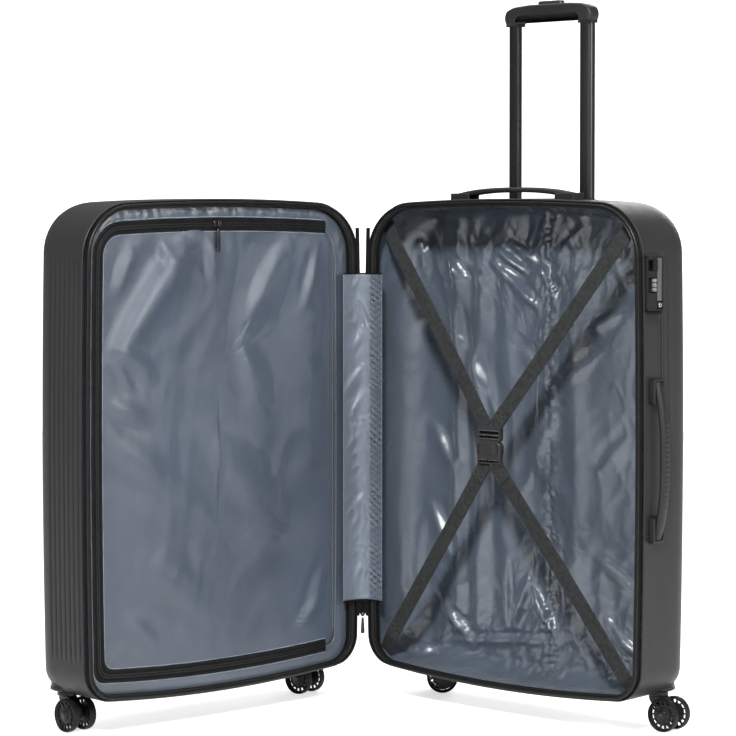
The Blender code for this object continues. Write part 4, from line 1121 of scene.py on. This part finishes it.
STRAPS = {
    "packing_strap_upper_hinge_side": ((0.0490, STRAP_V, 0.7170), (0.2345, STRAP_V + 0.0016, 0.4365),
                                       "strap_upper_hinge_side", 0.0018, 0.02),
    "packing_strap_upper_far_side": ((0.4840, STRAP_V, 0.7190), (0.2515, STRAP_V - 0.0006, 0.4365),
                                     "strap_upper_far_side", 0.0012, -0.02),
    "packing_strap_lower_hinge_side": ((0.0450, STRAP_V, 0.0980), (0.2345, STRAP_V + 0.0016, 0.3830),
                                       "strap_lower_hinge_side", 0.0012, 0.02),
    "packing_strap_lower_far_side": ((0.4970, STRAP_V, 0.0830), (0.2515, STRAP_V - 0.0006, 0.3830),
                                     "strap_lower_far_side", 0.0020, -0.03),
}
for name, (start, end, node, sag, twist) in STRAPS.items():
    start, end = np.array(start), np.array(end)
    run = end - start
    run /= np.linalg.norm(run)
    maker = Maker("trolley_half")
    root = start - run * (0.014 if name.endswith("lower_far_side") else 0.030) + (0.0, 0.0060, 0.0)
    maker.add(webbing_strip(root, start, STRAP_WIDE, 0.0, 0.0, 14), 0)
    maker.add(webbing_strip(start, end, STRAP_WIDE, sag, twist), 0)
    maker.add(webbing_strip(end - run * 0.034 - (0, 0.0013, 0), end - (0, 0.0013, 0), STRAP_WIDE * 0.98,
                            0.0, 0.0, 12), 0)
    for shape in stitch_box(end - run * 0.0230, run, 0.0175, 0.0120, 0.0022):
        maker.add(shape, 1)
    for shape in stitch_box(start + run * 0.016, run, 0.0180, 0.0100, 0.0009):
        maker.add(shape, 1)
    strap = maker.make(name, [webbing.mat, stitch_thread.mat], 60)
    if "upper" in name:
        a, b = on_case("trolley_half", [start, end])
        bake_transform(strap)
    else:
        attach(strap, "trolley_half")
    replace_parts(strap, node)

# The buckle is in two parts: the lower body with its strap bar, and the upper plug, whose
# bars take the two top straps. Thin bright steel strips along the slot edges are painted
# highlights, and near-black slabs inside the slots are painted shade.
buckle_plastic = Finish("buckle_acetal", (0.030, 0.030, 0.029), 0.42, specular=0.3)
buckle_plastic.gloss(buckle_plastic.speckle(120.0, 3.0), 0.28, 0.48)
buckle_plastic.bump(buckle_plastic.speckle(700.0, 2.0), 0.00015, 0.4)
# Plated steel for screws, buttons and the key barrel; its thin strips on the buckle are painted highlights.
steel_and_painted_glint = Finish("plated_steel", (0.34, 0.34, 0.335), 0.32, metal=1.0)
steel_and_painted_glint.gloss(steel_and_painted_glint.speckle(90.0, 3.0, (1.0, 1.0, 0.1)), 0.16, 0.36)
steel_and_painted_glint.bump(steel_and_painted_glint.speckle(400.0, 2.0), 0.0001, 0.3)
# Near-black for the buckle's slots and windows: painted shade inside the openings.
buckle_slot_painted_shade = Finish("buckle_slot_painted_shade_black", (0.0035, 0.0035, 0.0036), 0.60, specular=0.15)
buckle_slot_painted_shade.gloss(buckle_slot_painted_shade.speckle(90.0, 3.0), 0.50, 0.70)
BUCKLE_U, BUCKLE_V = 0.2430, 0.0170


def pad(u, z, half_u, half_z, thick, soft=0.0010, power=4.0, v=BUCKLE_V):
    """A rounded block of the buckle, centred at (u, v, z)."""
    return moved(plate(superellipse(half_u, half_z, power, 40), thick, soft), (u, v, z))


maker = Maker("trolley_half")
maker.add(pad(BUCKLE_U, 0.4352, 0.0222, 0.0038, 0.0092, 0.0016), 0)
maker.add(pad(BUCKLE_U, 0.4248, 0.0206, 0.0019, 0.0066, 0.0012, 3.0), 0)
maker.add(pad(BUCKLE_U, 0.4172, 0.0206, 0.0028, 0.0070, 0.0010), 0)
for side in (-1, 1):
    maker.add(pad(BUCKLE_U + side * 0.0203, 0.4272, 0.0021, 0.0110, 0.0084), 0)
# A near-black slab inside the plug's slots: painted shade.
maker.add(block((BUCKLE_U - 0.0190, BUCKLE_U + 0.0190), (BUCKLE_V + 0.0018, BUCKLE_V + 0.0034),
                (0.4160, 0.4340)), 1)
# Thin bright steel strips along the plug's slot edges: painted highlights.
for z in (0.4316, 0.4248, 0.4193):
    maker.add(pad(BUCKLE_U, z, 0.0196, 0.0008, 0.0016, 0.0004, v=BUCKLE_V - 0.0042), 2)
plug = maker.make("buckle_plug_moulding", [buckle_plastic.mat, buckle_slot_painted_shade.mat, steel_and_painted_glint.mat], 40)
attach(plug, "buckle_plug")
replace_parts(plug, "buckle_plug")

maker = Maker("trolley_half")
maker.add(pad(BUCKLE_U, 0.4010, 0.0220, 0.0142, 0.0108, 0.0016, 6.0), 0)
maker.add(pad(BUCKLE_U, 0.4030, 0.0125, 0.0090, 0.0118, 0.0012, 3.0), 0)
maker.add(pad(BUCKLE_U, 0.3822, 0.0206, 0.0016, 0.0080, 0.0010), 0)
for side in (-1, 1):
    maker.add(pad(BUCKLE_U + side * 0.0205, 0.3860, 0.0016, 0.0046, 0.0080), 0)
    maker.add(pad(BUCKLE_U + side * 0.0214, 0.4030, 0.0021, 0.0078, 0.0086, 0.0012, 2.6), 0)
    # Thin near-black strips over the body's side windows: painted shade.
    maker.add(block((BUCKLE_U + side * 0.0180 - 0.0005, BUCKLE_U + side * 0.0180 + 0.0005),
                    (0.0113, 0.0117), (0.3950, 0.4110)), 1)
# A near-black slab inside the body's strap slot: painted shade.
maker.add(block((BUCKLE_U - 0.0190, BUCKLE_U + 0.0190), (BUCKLE_V + 0.0018, BUCKLE_V + 0.0034),
                (0.3812, 0.3880)), 1)
# A thin bright steel strip along the lower bar: painted highlight.
maker.add(pad(BUCKLE_U, 0.3874, 0.0192, 0.0007, 0.0016, 0.0004, v=BUCKLE_V - 0.0050), 2)
socket = maker.make("buckle_body_moulding", [buckle_plastic.mat, buckle_slot_painted_shade.mat, steel_and_painted_glint.mat], 40)
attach(socket, "trolley_half")
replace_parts(socket, "buckle_socket")


# ---- Trolley handle --------------------------------------------------------------------
# A telescopic pull-out handle of two anodised aluminium tubes that run in outer tubes down
# the back, with a moulded grip and a release button across the top.

anodised = Finish("black_anodised_tube", (0.032, 0.032, 0.033), 0.30, metal=0.85)
anodised.shade(anodised.speckle(14.0, 3.0, (1.0, 1.0, 0.2)), 0.8, 1.25)
anodised.gloss(anodised.speckle(160.0, 3.0, (1.0, 1.0, 0.06)), 0.26, 0.44)
anodised.bump(anodised.speckle(420.0, 2.0, (1.0, 1.0, 0.05)), 0.00012, 0.35)
grip_plastic = Finish("grip_soft_plastic", (0.0135, 0.0135, 0.0138), 0.42, specular=0.28)
grip_plastic.gloss(grip_plastic.speckle(70.0, 3.0), 0.36, 0.52)
grip_plastic.bump(grip_plastic.speckle(900.0, 2.0), 0.00015, 0.45)
button_plastic = Finish("button_plastic", (0.022, 0.022, 0.023), 0.36, specular=0.35)
button_plastic.gloss(button_plastic.speckle(90.0, 3.0), 0.28, 0.44)
button_plastic.bump(button_plastic.speckle(900.0, 2.0), 0.00012, 0.4)
GRIP_U, GRIP_V, TUBE_SIDE = 0.2725, 0.1265, 0.069
TUBE_A, TUBE_B = 0.0105, 0.0066


def tube_line(side, grow=0.0):
    """The tube's section: two sharp corners (outer back, inner front) and two round ones."""
    a, b, points = TUBE_A + grow, TUBE_B + grow, []
    for k, (ca, cb) in enumerate(((1, 1), (-1, 1), (-1, -1), (1, -1))):
        r = 0.0025 if ca * cb > 0 else min(0.0095, b - 0.0002, a)
        rb = min(r, b - 0.0001)
        for t in np.radians(90 * k + np.linspace(0, 90, 8)):
            points.append((side * (ca * (a - r) + r * math.cos(t)), cb * (b - rb) + rb * math.sin(t)))
    return np.array(points)


def tube_solid(side, low, high, wall):
    outer, inner = tube_line(side), tube_line(side, -wall)
    rows = []
    for line, z in ((outer, low), (outer, low + 0.0005), (outer, high - 0.0005), (outer, high),
                    (inner, high), (inner, low)):
        rows.append(np.stack([line[:, 0], line[:, 1], np.full(len(line), z)], 1))
    points, faces = loft(rows, caps=False)
    n, last = len(outer), 5 * len(outer)
    faces += [(i, (i + 1) % n, last + (i + 1) % n, last + i) for i in range(n)]
    return points, faces


low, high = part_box("inner_tube_hinge_side")
for side, node in ((-1, "inner_tube_hinge_side"), (1, "inner_tube_far_side")):
    maker = Maker("trolley_half")
    place = (GRIP_U + side * TUBE_SIDE, GRIP_V, 0.0)
    maker.add(moved(tube_solid(side, low.z, 1.0500, 0.0014), place), 0)
    for across in (-0.0042, 0.0042):
        maker.add(moved(block((across - 0.0006, across + 0.0006), (-0.0069, -0.0064),
                              (low.z + 0.01, high.z - 0.002)), place), 0)
    button = lathe([(0, -0.0072), (0.0020, -0.0072), (0.0024, -0.0066), (0.0024, -0.0050), (0, -0.0050)],
                   20, 1)
    maker.add(moved(button, (place[0], place[1], low.z + 0.030)), 1)
    inner_tube = maker.make(node + "_extrusion", [anodised.mat, steel_and_painted_glint.mat], 32)
    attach(inner_tube, "trolley_handle")
    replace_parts(inner_tube, node)

GRIP_PROFILE = ((0, 1.0545), (0.0300, 1.0555), (0.0515, 1.0575), (0.0560, 1.0550), (0.0576, 1.0470),
                (0.0800, 1.0470),
                (0.0835, 1.0590), (0.0800, 1.0690), (0.0660, 1.0748), (0.0360, 1.0770), (0, 1.0777))


def rounded_loop(corners, radius, steps=5):
    """A closed outline with each of its corners rounded."""
    corners, out = np.asarray(corners, float), []
    n = len(corners)
    for k in range(n):
        before, at, after = corners[k - 1], corners[k], corners[(k + 1) % n]
        a, b = before - at, after - at
        la, lb = np.linalg.norm(a), np.linalg.norm(b)
        r = min(radius, la * 0.45, lb * 0.45)
        p, q = at + a / la * r, at + b / lb * r
        for t in np.linspace(0, 1, steps):
            out.append((1 - t) ** 2 * p + 2 * t * (1 - t) * at + t * t * q)
    return np.array(out)


def soft_slab(outline, half_v, soft, turns=5):
    """An outline in (u, z) drawn through v, its edges rounded to a radius."""
    outline = np.asarray(outline, float)
    run = np.roll(outline, -1, 0) - np.roll(outline, 1, 0)
    run /= np.maximum(np.linalg.norm(run, axis=1), 1e-9)[:, None]
    inward = np.stack([-run[:, 1], run[:, 0]], 1)
    area = 0.5 * np.sum(outline[:, 0] * np.roll(outline[:, 1], -1) - np.roll(outline[:, 0], -1)
                        * outline[:, 1])
    inward *= 1.0 if area > 0 else -1.0
    rows = []
    for sign in (-1, 1):
        ts = np.linspace(math.pi / 2, 0, turns) if sign < 0 else np.linspace(0, math.pi / 2, turns)
        for t in ts:
            flat = outline + inward * soft * (1 - math.cos(t))
            v = sign * (half_v - soft + soft * math.sin(t))
            rows.append(np.stack([flat[:, 0], np.full(len(flat), v), flat[:, 1]], 1))
    return loft(rows)


right = [(u, z) for u, z in GRIP_PROFILE]
left = [(-u, z) for u, z in reversed(GRIP_PROFILE[1:-1])]
grip_line = rounded_loop([p for p in right if p[0] > 0] + left, 0.0060)
maker = Maker("trolley_half")
maker.add(moved(soft_slab(grip_line, 0.0125, 0.0042), (GRIP_U, GRIP_V, 0)), 0)
for side in (-1, 1):
    maker.add(moved(block((-0.0118, 0.0118), (-0.0090, 0.0090), (1.0452, 1.0500)),
                    (GRIP_U + side * TUBE_SIDE, GRIP_V, 0)), 0)
for k in range(7):
    z = 1.0600 + k * 0.0019
    maker.add(moved(block((-0.030, 0.030), (-0.0130, -0.0121), (z, z + 0.0009)), (GRIP_U, GRIP_V, 0)), 0)
grip = maker.make("trolley_grip_moulding", [grip_plastic.mat], 35)
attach(grip, "trolley_handle")
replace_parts(grip, "trolley_grip")

low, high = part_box("release_button")
key_line = superellipse(0.0228, 0.0063, 4.0, 48)
rows = []
for z, shrink in ((1.0716, 0.0), (high.z - 0.0016, 0.0), (high.z - 0.0006, 0.0006),
                  (high.z - 0.0001, 0.0018)):
    line = key_line * (1 - shrink / np.linalg.norm(key_line, axis=1))[:, None]
    rows.append(np.stack([line[:, 0], line[:, 1], np.full(len(line), z)], 1))
maker = Maker("trolley_half")
maker.add(moved(loft(rows), (GRIP_U, GRIP_V, 0)), 0)
release = maker.make("trolley_button_moulding", [button_plastic.mat], 40)
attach(release, "trolley_button")
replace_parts(release, "release_button")

# The outer tubes and the cup keep their own shapes and take a real finish.
cup_plastic = Finish("cup_moulding", (0.011, 0.011, 0.0115), 0.46, specular=0.25)
cup_plastic.gloss(cup_plastic.speckle(60.0, 3.0), 0.36, 0.54)
cup_plastic.bump(cup_plastic.speckle(800.0, 2.0), 0.0002, 0.4)


def refinish(node, finish):
    obj = bpy.data.objects[node]
    obj.data.materials.clear()
    obj.data.materials.append(finish.mat)


for node in ("outer_tube_hinge_side", "outer_tube_far_side"):
    refinish(node, anodised)
refinish("trolley_cup", cup_plastic)


# ---- Carry handles ---------------------------------------------------------------------
# Two flexible moulded carry handles, one on the top and one on the far side. Each is a
# ribbed strap that arches over between two end blocks screwed to the shell.

handle_rubber = Finish("handle_flex_plastic", (0.0105, 0.0105, 0.011), 0.48, specular=0.28)
handle_rubber.shade(handle_rubber.speckle(20.0, 3.0), 0.85, 1.2)
handle_rubber.gloss(handle_rubber.speckle(90.0, 3.0), 0.40, 0.58)
handle_rubber.bump(handle_rubber.speckle(900.0, 2.0), 0.0002, 0.45)
HANDLE_HALF = 0.1135


def handle_arch(height, place):
    """The strap: 18 mm wide and crowned, with cross ribs over its middle."""
    rows = []
    count = 97
    for k in range(count):
        f = -1 + 2 * k / (count - 1)
        h = (1 - abs(f) ** 2.6) * height
        under, over = 0.0014 + h, 0.0105 + 0.88 * h
        half = 0.0088 - 0.0022 * max(abs(f) - 0.80, 0) / 0.2
        groove = 0.0009 * (abs(f) < 0.62) * (k % 3 == 0)
        row = []
        for s, o in ((-0.80, under), (-0.96, under + 0.0012), (-1.0, under + 0.0035),
                     (-0.97, over - 0.0030), (-0.80, over - 0.0010),
                     (-0.45, over - groove), (0.0, over - groove * 1.2), (0.45, over - groove),
                     (0.80, over - 0.0010),
                     (0.97, over - 0.0030), (1.0, under + 0.0035), (0.96, under + 0.0012), (0.80, under),
                     (0.0, under)):
            row.append((s * half, o))
        rows.append(np.array([place(f * HANDLE_HALF, s, o) for s, o in row]))
    return loft(rows)


def top_place(along, across, out):
    return np.array((0.2675 + along, 0.048 + across, 0.7780 + out))


def side_place(along, across, out):
    return np.array((0.5322 + out, 0.033 + across, 0.404 + along))


for name, node, height, place in (
    ("top_handle_strap", "top_handle", 0.0105, top_place),
    ("side_handle_strap", "side_handle", 0.0150, side_place),
):
    maker = Maker("trolley_half")
    maker.add(handle_arch(height, place), 0)
    strap = maker.make(name, [handle_rubber.mat], 50)
    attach(strap, node)
    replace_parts(strap, node + "_grip")
    for which in (1, 2):
        refinish(f"{node}_mount_{which}", handle_rubber)

# A shallow recessed plate carries the lock and the side handle on the far wall, with a
# raised bead along its inner edge.
maker = Maker("trolley_half")
bead = [np.array((side_u(0.0525, z) + 0.0004, 0.0525, z)) for z in np.linspace(0.292, 0.700, 40)]
maker.add(rib(bead, [np.array((1.0, 0, 0))] * 40, [np.array((0, 1.0, 0))] * 40, 0.0034, 0.0016), 0)
for z0, z1 in ((0.292, 0.296), (0.697, 0.701)):
    maker.add(block((0.5270, side_u(0.03, z0) + 0.0014), (0.0125, 0.0530), (z0, z1)), 0)
panel_edge = maker.make("far_wall_bead", [moulded_abs.mat], 40)
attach(panel_edge, "trolley_half")


# ---- Lock ------------------------------------------------------------------------------
# A flush three-dial combination lock with a sliding release and a key barrel, moulded in
# black plastic with grey zinc dials. The grey face along its inner side is painted light on
# the lit side of the housing.

lock_black = Finish("lock_black_plastic", (0.0075, 0.0075, 0.008), 0.40, specular=0.25)
lock_black.gloss(lock_black.speckle(90.0, 3.0), 0.30, 0.50)
lock_black.bump(lock_black.speckle(800.0, 2.0), 0.00015, 0.4)
# Grey zinc for the dials; the same grey paints the lit face of the housing as painted light.
lock_zinc_and_painted_light = Finish("lock_satin_zinc_and_painted_light", (0.20, 0.20, 0.205), 0.34, metal=0.9)
lock_zinc_and_painted_light.gloss(lock_zinc_and_painted_light.speckle(120.0, 3.0, (1.0, 1.0, 0.1)), 0.26, 0.46)
lock_zinc_and_painted_light.bump(lock_zinc_and_painted_light.speckle(500.0, 2.0), 0.00012, 0.3)
maker = Maker("trolley_half")


def lock_frame(u0, u1, v0, v1, z0, z1, wall):
    """Four bars round an opening in the far wall."""
    return [block((u0, u1), (v0, v0 + wall), (z0, z1)), block((u0, u1), (v1 - wall, v1), (z0, z1)),
            block((u0, u1), (v0, v1), (z0, z0 + wall)), block((u0, u1), (v0, v1), (z1 - wall, z1))]


LOCK_FLOOR, LOCK_FACE = 0.5290, 0.5352  # across the mouth, from the recess out to the frame
LOCK_V, LOCK_Z = (0.0116, 0.0504), (0.6191, 0.6969)
maker.add(block((0.5252, 0.5292), LOCK_V, LOCK_Z), 0)
for shape in lock_frame(LOCK_FLOOR, LOCK_FACE, *LOCK_V, *LOCK_Z, 0.0024):
    maker.add(shape, 0)
# The grey face on the lit side of the housing: painted light.
maker.add(block((LOCK_FLOOR, 0.5347), (0.0372, 0.0482), (0.6330, 0.6946)), 1)
for z0, z1 in ((0.6214, 0.6445), (0.6668, 0.6760), (0.6925, 0.6948)):
    maker.add(block((LOCK_FLOOR, 0.5340), (0.0140, 0.0380), (z0, z1)), 0)
lock_body = maker.make("lock_housing_moulding", [lock_black.mat, lock_zinc_and_painted_light.mat], 30)
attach(lock_body, "trolley_half")
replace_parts(lock_body, "lock_housing")

DIAL_U, DIAL_V = 0.5322, 0.0310  # the axle that the three dials turn on
DIAL_ROUND, DIAL_END, DIAL_BEVEL = 0.0045, 0.0036, 0.0005
for k in range(3):
    node = f"lock_dial_{k + 1}"
    low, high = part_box(node)
    z = (low.z + high.z) / 2
    half = (high.z - low.z) / 2
    rows = []
    for h, r in ((-half, DIAL_END), (-half + DIAL_BEVEL, DIAL_ROUND),
                 (half - DIAL_BEVEL, DIAL_ROUND), (half, DIAL_END)):
        ring_row = []
        for i in range(40):
            t = 2 * math.pi * i / 40
            grip_r = r - 0.00035 * (i % 4 == 0) * (abs(h) < half * 0.99)
            ring_row.append((grip_r * math.cos(t), grip_r * math.sin(t), h))
        rows.append(np.array(ring_row))
    maker = Maker("trolley_half")
    maker.add(moved(loft(rows), (DIAL_U, DIAL_V, z)), 0)
    dial = maker.make(node + "_wheel", [lock_zinc_and_painted_light.mat], 25)
    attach(dial, node)
    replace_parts(dial, node)

low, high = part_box("lock_release")  # its plate runs just over the face of the housing
maker = Maker("trolley_half")
maker.add(block((0.5342, 0.5356), (0.0250, 0.0370), (low.z, high.z)), 0)
for k in range(5):
    z = low.z + 0.0022 + k * 0.0024
    maker.add(block((0.5354, 0.5366), (0.0258, 0.0362), (z, z + 0.0011)), 0)
slide = maker.make("lock_release_slide", [lock_black.mat], 30)
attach(slide, "lock_release")
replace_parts(slide, "lock_release")

maker = Maker("trolley_half")
face = lathe([(0, 0.5307), (0.0039, 0.5307), (0.0039, 0.5350), (0.0034, 0.5357), (0.0026, 0.5357),
              (0.0024, 0.5352), (0, 0.5352)], 28, 0)
maker.add(moved(face, (0, 0.0440, 0.6270)), 0)
maker.add(block((0.5345, 0.5354), (0.0437, 0.0443), (0.6248, 0.6292)), 1)
barrel = maker.make("lock_key_barrel_face", [steel_and_painted_glint.mat, lock_black.mat], 30)
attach(barrel, "lock_key_barrel")
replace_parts(barrel, "lock_key_barrel")


# ---- Casters ---------------------------------------------------------------------------
# Four double spinner wheels. Each has a moulded housing let into the shell's corner, a fork
# on a swivel, and two narrow wheels with rubber tyres on a plated axle.

tyre_rubber = Finish("tyre_rubber", (0.0060, 0.0060, 0.0064), 0.58, specular=0.2)
tyre_rubber.shade(tyre_rubber.speckle(50.0, 3.0), 0.8, 1.5)
tyre_rubber.gloss(tyre_rubber.speckle(60.0, 3.0), 0.48, 0.70)
tyre_rubber.bump(tyre_rubber.speckle(700.0, 2.0), 0.0002, 0.4)
hub_plastic = Finish("hub_plastic", (0.0115, 0.0115, 0.012), 0.38, specular=0.25)
hub_plastic.gloss(hub_plastic.speckle(90.0, 3.0), 0.28, 0.48)
hub_plastic.bump(hub_plastic.speckle(800.0, 2.0), 0.00015, 0.35)
WHEEL_R, WHEEL_HALF, SPOKES = 0.0245, 0.006, 14
CASTERS = {
    1: ("trolley_half", CASTER_U[0], 0.0), 2: ("trolley_half", CASTER_U[1], -42.0),
    3: ("lid_half", CASTER_U[0], -40.0), 4: ("lid_half", CASTER_U[1], -48.0),
}


def turned(degrees, pivot):
    c, s = math.cos(math.radians(degrees)), math.sin(math.radians(degrees))

    def place(points):
        p = np.asarray(points, float)
        return np.stack([p[:, 0] * c - p[:, 1] * s, p[:, 0] * s + p[:, 1] * c, p[:, 2]], 1) + pivot
    return place


def tyre():
    """Crowned tyre: a ring of rubber about the wheel's own axle (y)."""
    profile = [(WHEEL_R - 0.0013 * abs(t) ** 2.6, t * WHEEL_HALF) for t in np.linspace(-1, 1, 9)]
    profile += [(0.0226, WHEEL_HALF * 0.84), (0.0208, WHEEL_HALF * 0.50), (0.0208, -WHEEL_HALF * 0.50),
                (0.0226, -WHEEL_HALF * 0.84)]
    return lathe(profile, 56, 1)


def spoked_hub(outward):
    """Rim ring, short spokes with open holes between them, dished web and cap; the cap faces `outward`."""
    shapes = [
        lathe([(0.0210, -0.0028), (0.0210, 0.0028), (0.0204, 0.0026), (0.0200, 0.0018), (0.0200, -0.0018),
               (0.0204, -0.0026)], 56, 1),
        lathe([(0.0034, -0.0040), (0.0100, -0.0034), (0.0130, -0.0020), (0.0150, -0.0026), (0.0156, 0.0),
               (0.0150, 0.0026), (0.0130, 0.0020), (0.0100, 0.0034), (0.0034, 0.0040)], 48, 1),
    ]
    cap = [(0, outward * 0.0030), (0.0072, outward * 0.0034), (0.0080, outward * 0.0046),
           (0.0064, outward * 0.0058),
           (0.0024, outward * 0.0064), (0, outward * 0.0064)]
    shapes.append(lathe(cap, 32, 1))
    for k in range(SPOKES):
        t = 2 * math.pi * k / SPOKES
        c, s = math.cos(t), math.sin(t)
        points, faces = block((0.0146, 0.0204), (-0.0016, 0.0016), (-0.0011, 0.0011))
        x, z = points[:, 0] * c - points[:, 2] * s, points[:, 0] * s + points[:, 2] * c
        shapes.append((np.stack([x, points[:, 1], z], 1), faces))
    for k in range(8):
        t = 2 * math.pi * (k + 0.5) / 8
        c, s = math.cos(t), math.sin(t)
        points, faces = block((0.0070, 0.0146), (outward * 0.0016, outward * 0.0038), (-0.0006, 0.0006))
        x, z = points[:, 0] * c - points[:, 2] * s, points[:, 0] * s + points[:, 2] * c
        shapes.append((np.stack([x, points[:, 1], z], 1), faces))
    return shapes


FORK_LINE = ((-0.0125, 0.0515), (0.0125, 0.0515), (0.0275, 0.0360), (0.0285, 0.0220), (0.0230, 0.0165),
             (0.0150, 0.0170),
             (0.0020, 0.0290), (-0.0115, 0.0420))
for k, (half, u, toe) in CASTERS.items():
    pivot = on_case(half, [(u, CASTER_V, 0.0)])[0]
    place = turned(toe, pivot)
    maker = Maker()
    steps = [(0, 0.0585), (0.0225, 0.0585), (0.0252, 0.0600), (0.0252, 0.0640), (0.0240, 0.0645),
             (0.0240, 0.0735), (0, 0.0735)]
    maker.add(moved(lathe(steps, 48, 2), pivot), 0)
    for a in range(3):
        t = math.radians(a * 120 + 30)
        screw = lathe([(0, 0.0578), (0.0018, 0.0578), (0.0022, 0.0583), (0.0022, 0.0600), (0, 0.0600)], 16,
                      2)
        maker.add(moved(screw, pivot + np.array((0.0195 * math.cos(t), 0.0195 * math.sin(t), 0))), 1)
    housing = maker.make(f"caster_{k}_housing_moulding", [hub_plastic.mat, steel_and_painted_glint.mat], 35)
    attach(housing, half)
    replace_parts(housing, f"caster_{k}_housing")

    maker = Maker()
    maker.add(soft_slab(rounded_loop(FORK_LINE, 0.0045), 0.0078, 0.0018), 0, place)
    neck = lathe([(0, 0.0490), (0.0118, 0.0490), (0.0150, 0.0508), (0.0150, 0.0560), (0.0140, 0.0574),
                  (0, 0.0574)], 40, 2)
    maker.add(neck, 0, place)
    fork = maker.make(f"caster_{k}_fork_moulding", [hub_plastic.mat], 35)
    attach(fork, f"caster_{k}_swivel")
    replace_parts(fork, f"caster_{k}_fork")

    for which, sign in ((1, -1), (2, 1)):
        maker = Maker()
        centre = (0.0195, sign * 0.015, WHEEL_R)
        maker.add(moved(tyre(), centre), 0, place)
        for shape in spoked_hub(sign):
            maker.add(moved(shape, centre), 1, place)
        wheel = maker.make(f"caster_{k}_wheel_{which}_spoked", [tyre_rubber.mat, hub_plastic.mat], 35)
        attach(wheel, f"caster_{k}_wheel_{which}")
        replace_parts(wheel, f"caster_{k}_wheel_{which}")
    refinish(f"caster_{k}_axle", dark_zinc)


# ---- Studio ----------------------------------------------------------------------------
# A pale floor that runs out of sight, a white surround and five soft lights: a small key
# light in front, one from each side, a broad one above and one behind.

floor_paint = Finish("studio_floor", (0.86, 0.86, 0.86), 0.6, specular=0.1)
floor_paint.set("Emission Color", (1.0, 1.0, 1.0, 1.0))
floor_paint.set("Emission Strength", 0.62)
floor_paint.shade(floor_paint.speckle(2.0, 2.0), 0.99, 1.01)
maker = Maker()
maker.add(block((-14.0, 14.0), (-8.0, 16.0), (-0.05, 0.0)))
floor = maker.make("studio_floor", [floor_paint.mat], 40)
floor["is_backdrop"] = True
floor.visible_diffuse = False
paper = Finish("studio_paper", (1.0, 1.0, 1.0), 0.9, specular=0.0)
paper.set("Emission Color", (1.0, 1.0, 1.0, 1.0))
paper.set("Emission Strength", 0.9)
maker = Maker()
maker.add(block((-9.0, 9.0), (5.0, 5.1), (-0.5, 8.0)))
backdrop = maker.make("studio_backdrop", [paper.mat], 40)
backdrop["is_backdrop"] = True
backdrop.visible_diffuse = backdrop.visible_glossy = False

world = bpy.data.worlds.new("studio")
world.use_nodes = True
world.node_tree.nodes["Background"].inputs["Color"].default_value = (1.0, 1.0, 1.0, 1.0)
world.node_tree.nodes["Background"].inputs["Strength"].default_value = 0.25
bpy.context.scene.world = world


def soft_light(name, place, aim, size, power):
    light = bpy.data.lights.new(name, "AREA")
    light.shape, light.size, light.energy = "SQUARE", size, power
    obj = bpy.data.objects.new(name, light)
    obj.location = place
    obj.rotation_euler = (Vector(aim) - Vector(place)).to_track_quat("-Z", "Y").to_euler()
    bpy.context.scene.collection.objects.link(obj)
    obj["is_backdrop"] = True


soft_light("key", (-0.35, -3.3, 2.7), (0.1, 0.0, 0.4), 0.45, 185.0)
soft_light("left", (-2.9, -2.1, 1.3), (0.1, 0.0, 0.5), 0.9, 15.0)
soft_light("right", (2.9, -2.1, 1.5), (-0.1, 0.0, 0.5), 0.9, 80.0)
soft_light("top", (0.0, 0.4, 3.2), (0.0, 0.0, 0.4), 2.6, 60.0)
soft_light("back", (1.6, 4.0, 2.2), (0.1, 0.1, 0.4), 1.6, 60.0)
bpy.context.scene.view_settings.view_transform = "Standard"

camera = bpy.data.cameras.new("camera")
camera.lens, camera.sensor_width = 124.79, 36.0
camera.shift_x, camera.shift_y = 0.00981, -0.10
camera_obj = bpy.data.objects.new("camera", camera)
camera_obj.location = (-0.0084, -3.8496, 0.760)
camera_obj.rotation_euler = (math.radians(90 - 1.842), 0.0, 0.0)
bpy.context.scene.collection.objects.link(camera_obj)
bpy.context.scene.camera = camera_obj

low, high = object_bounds()
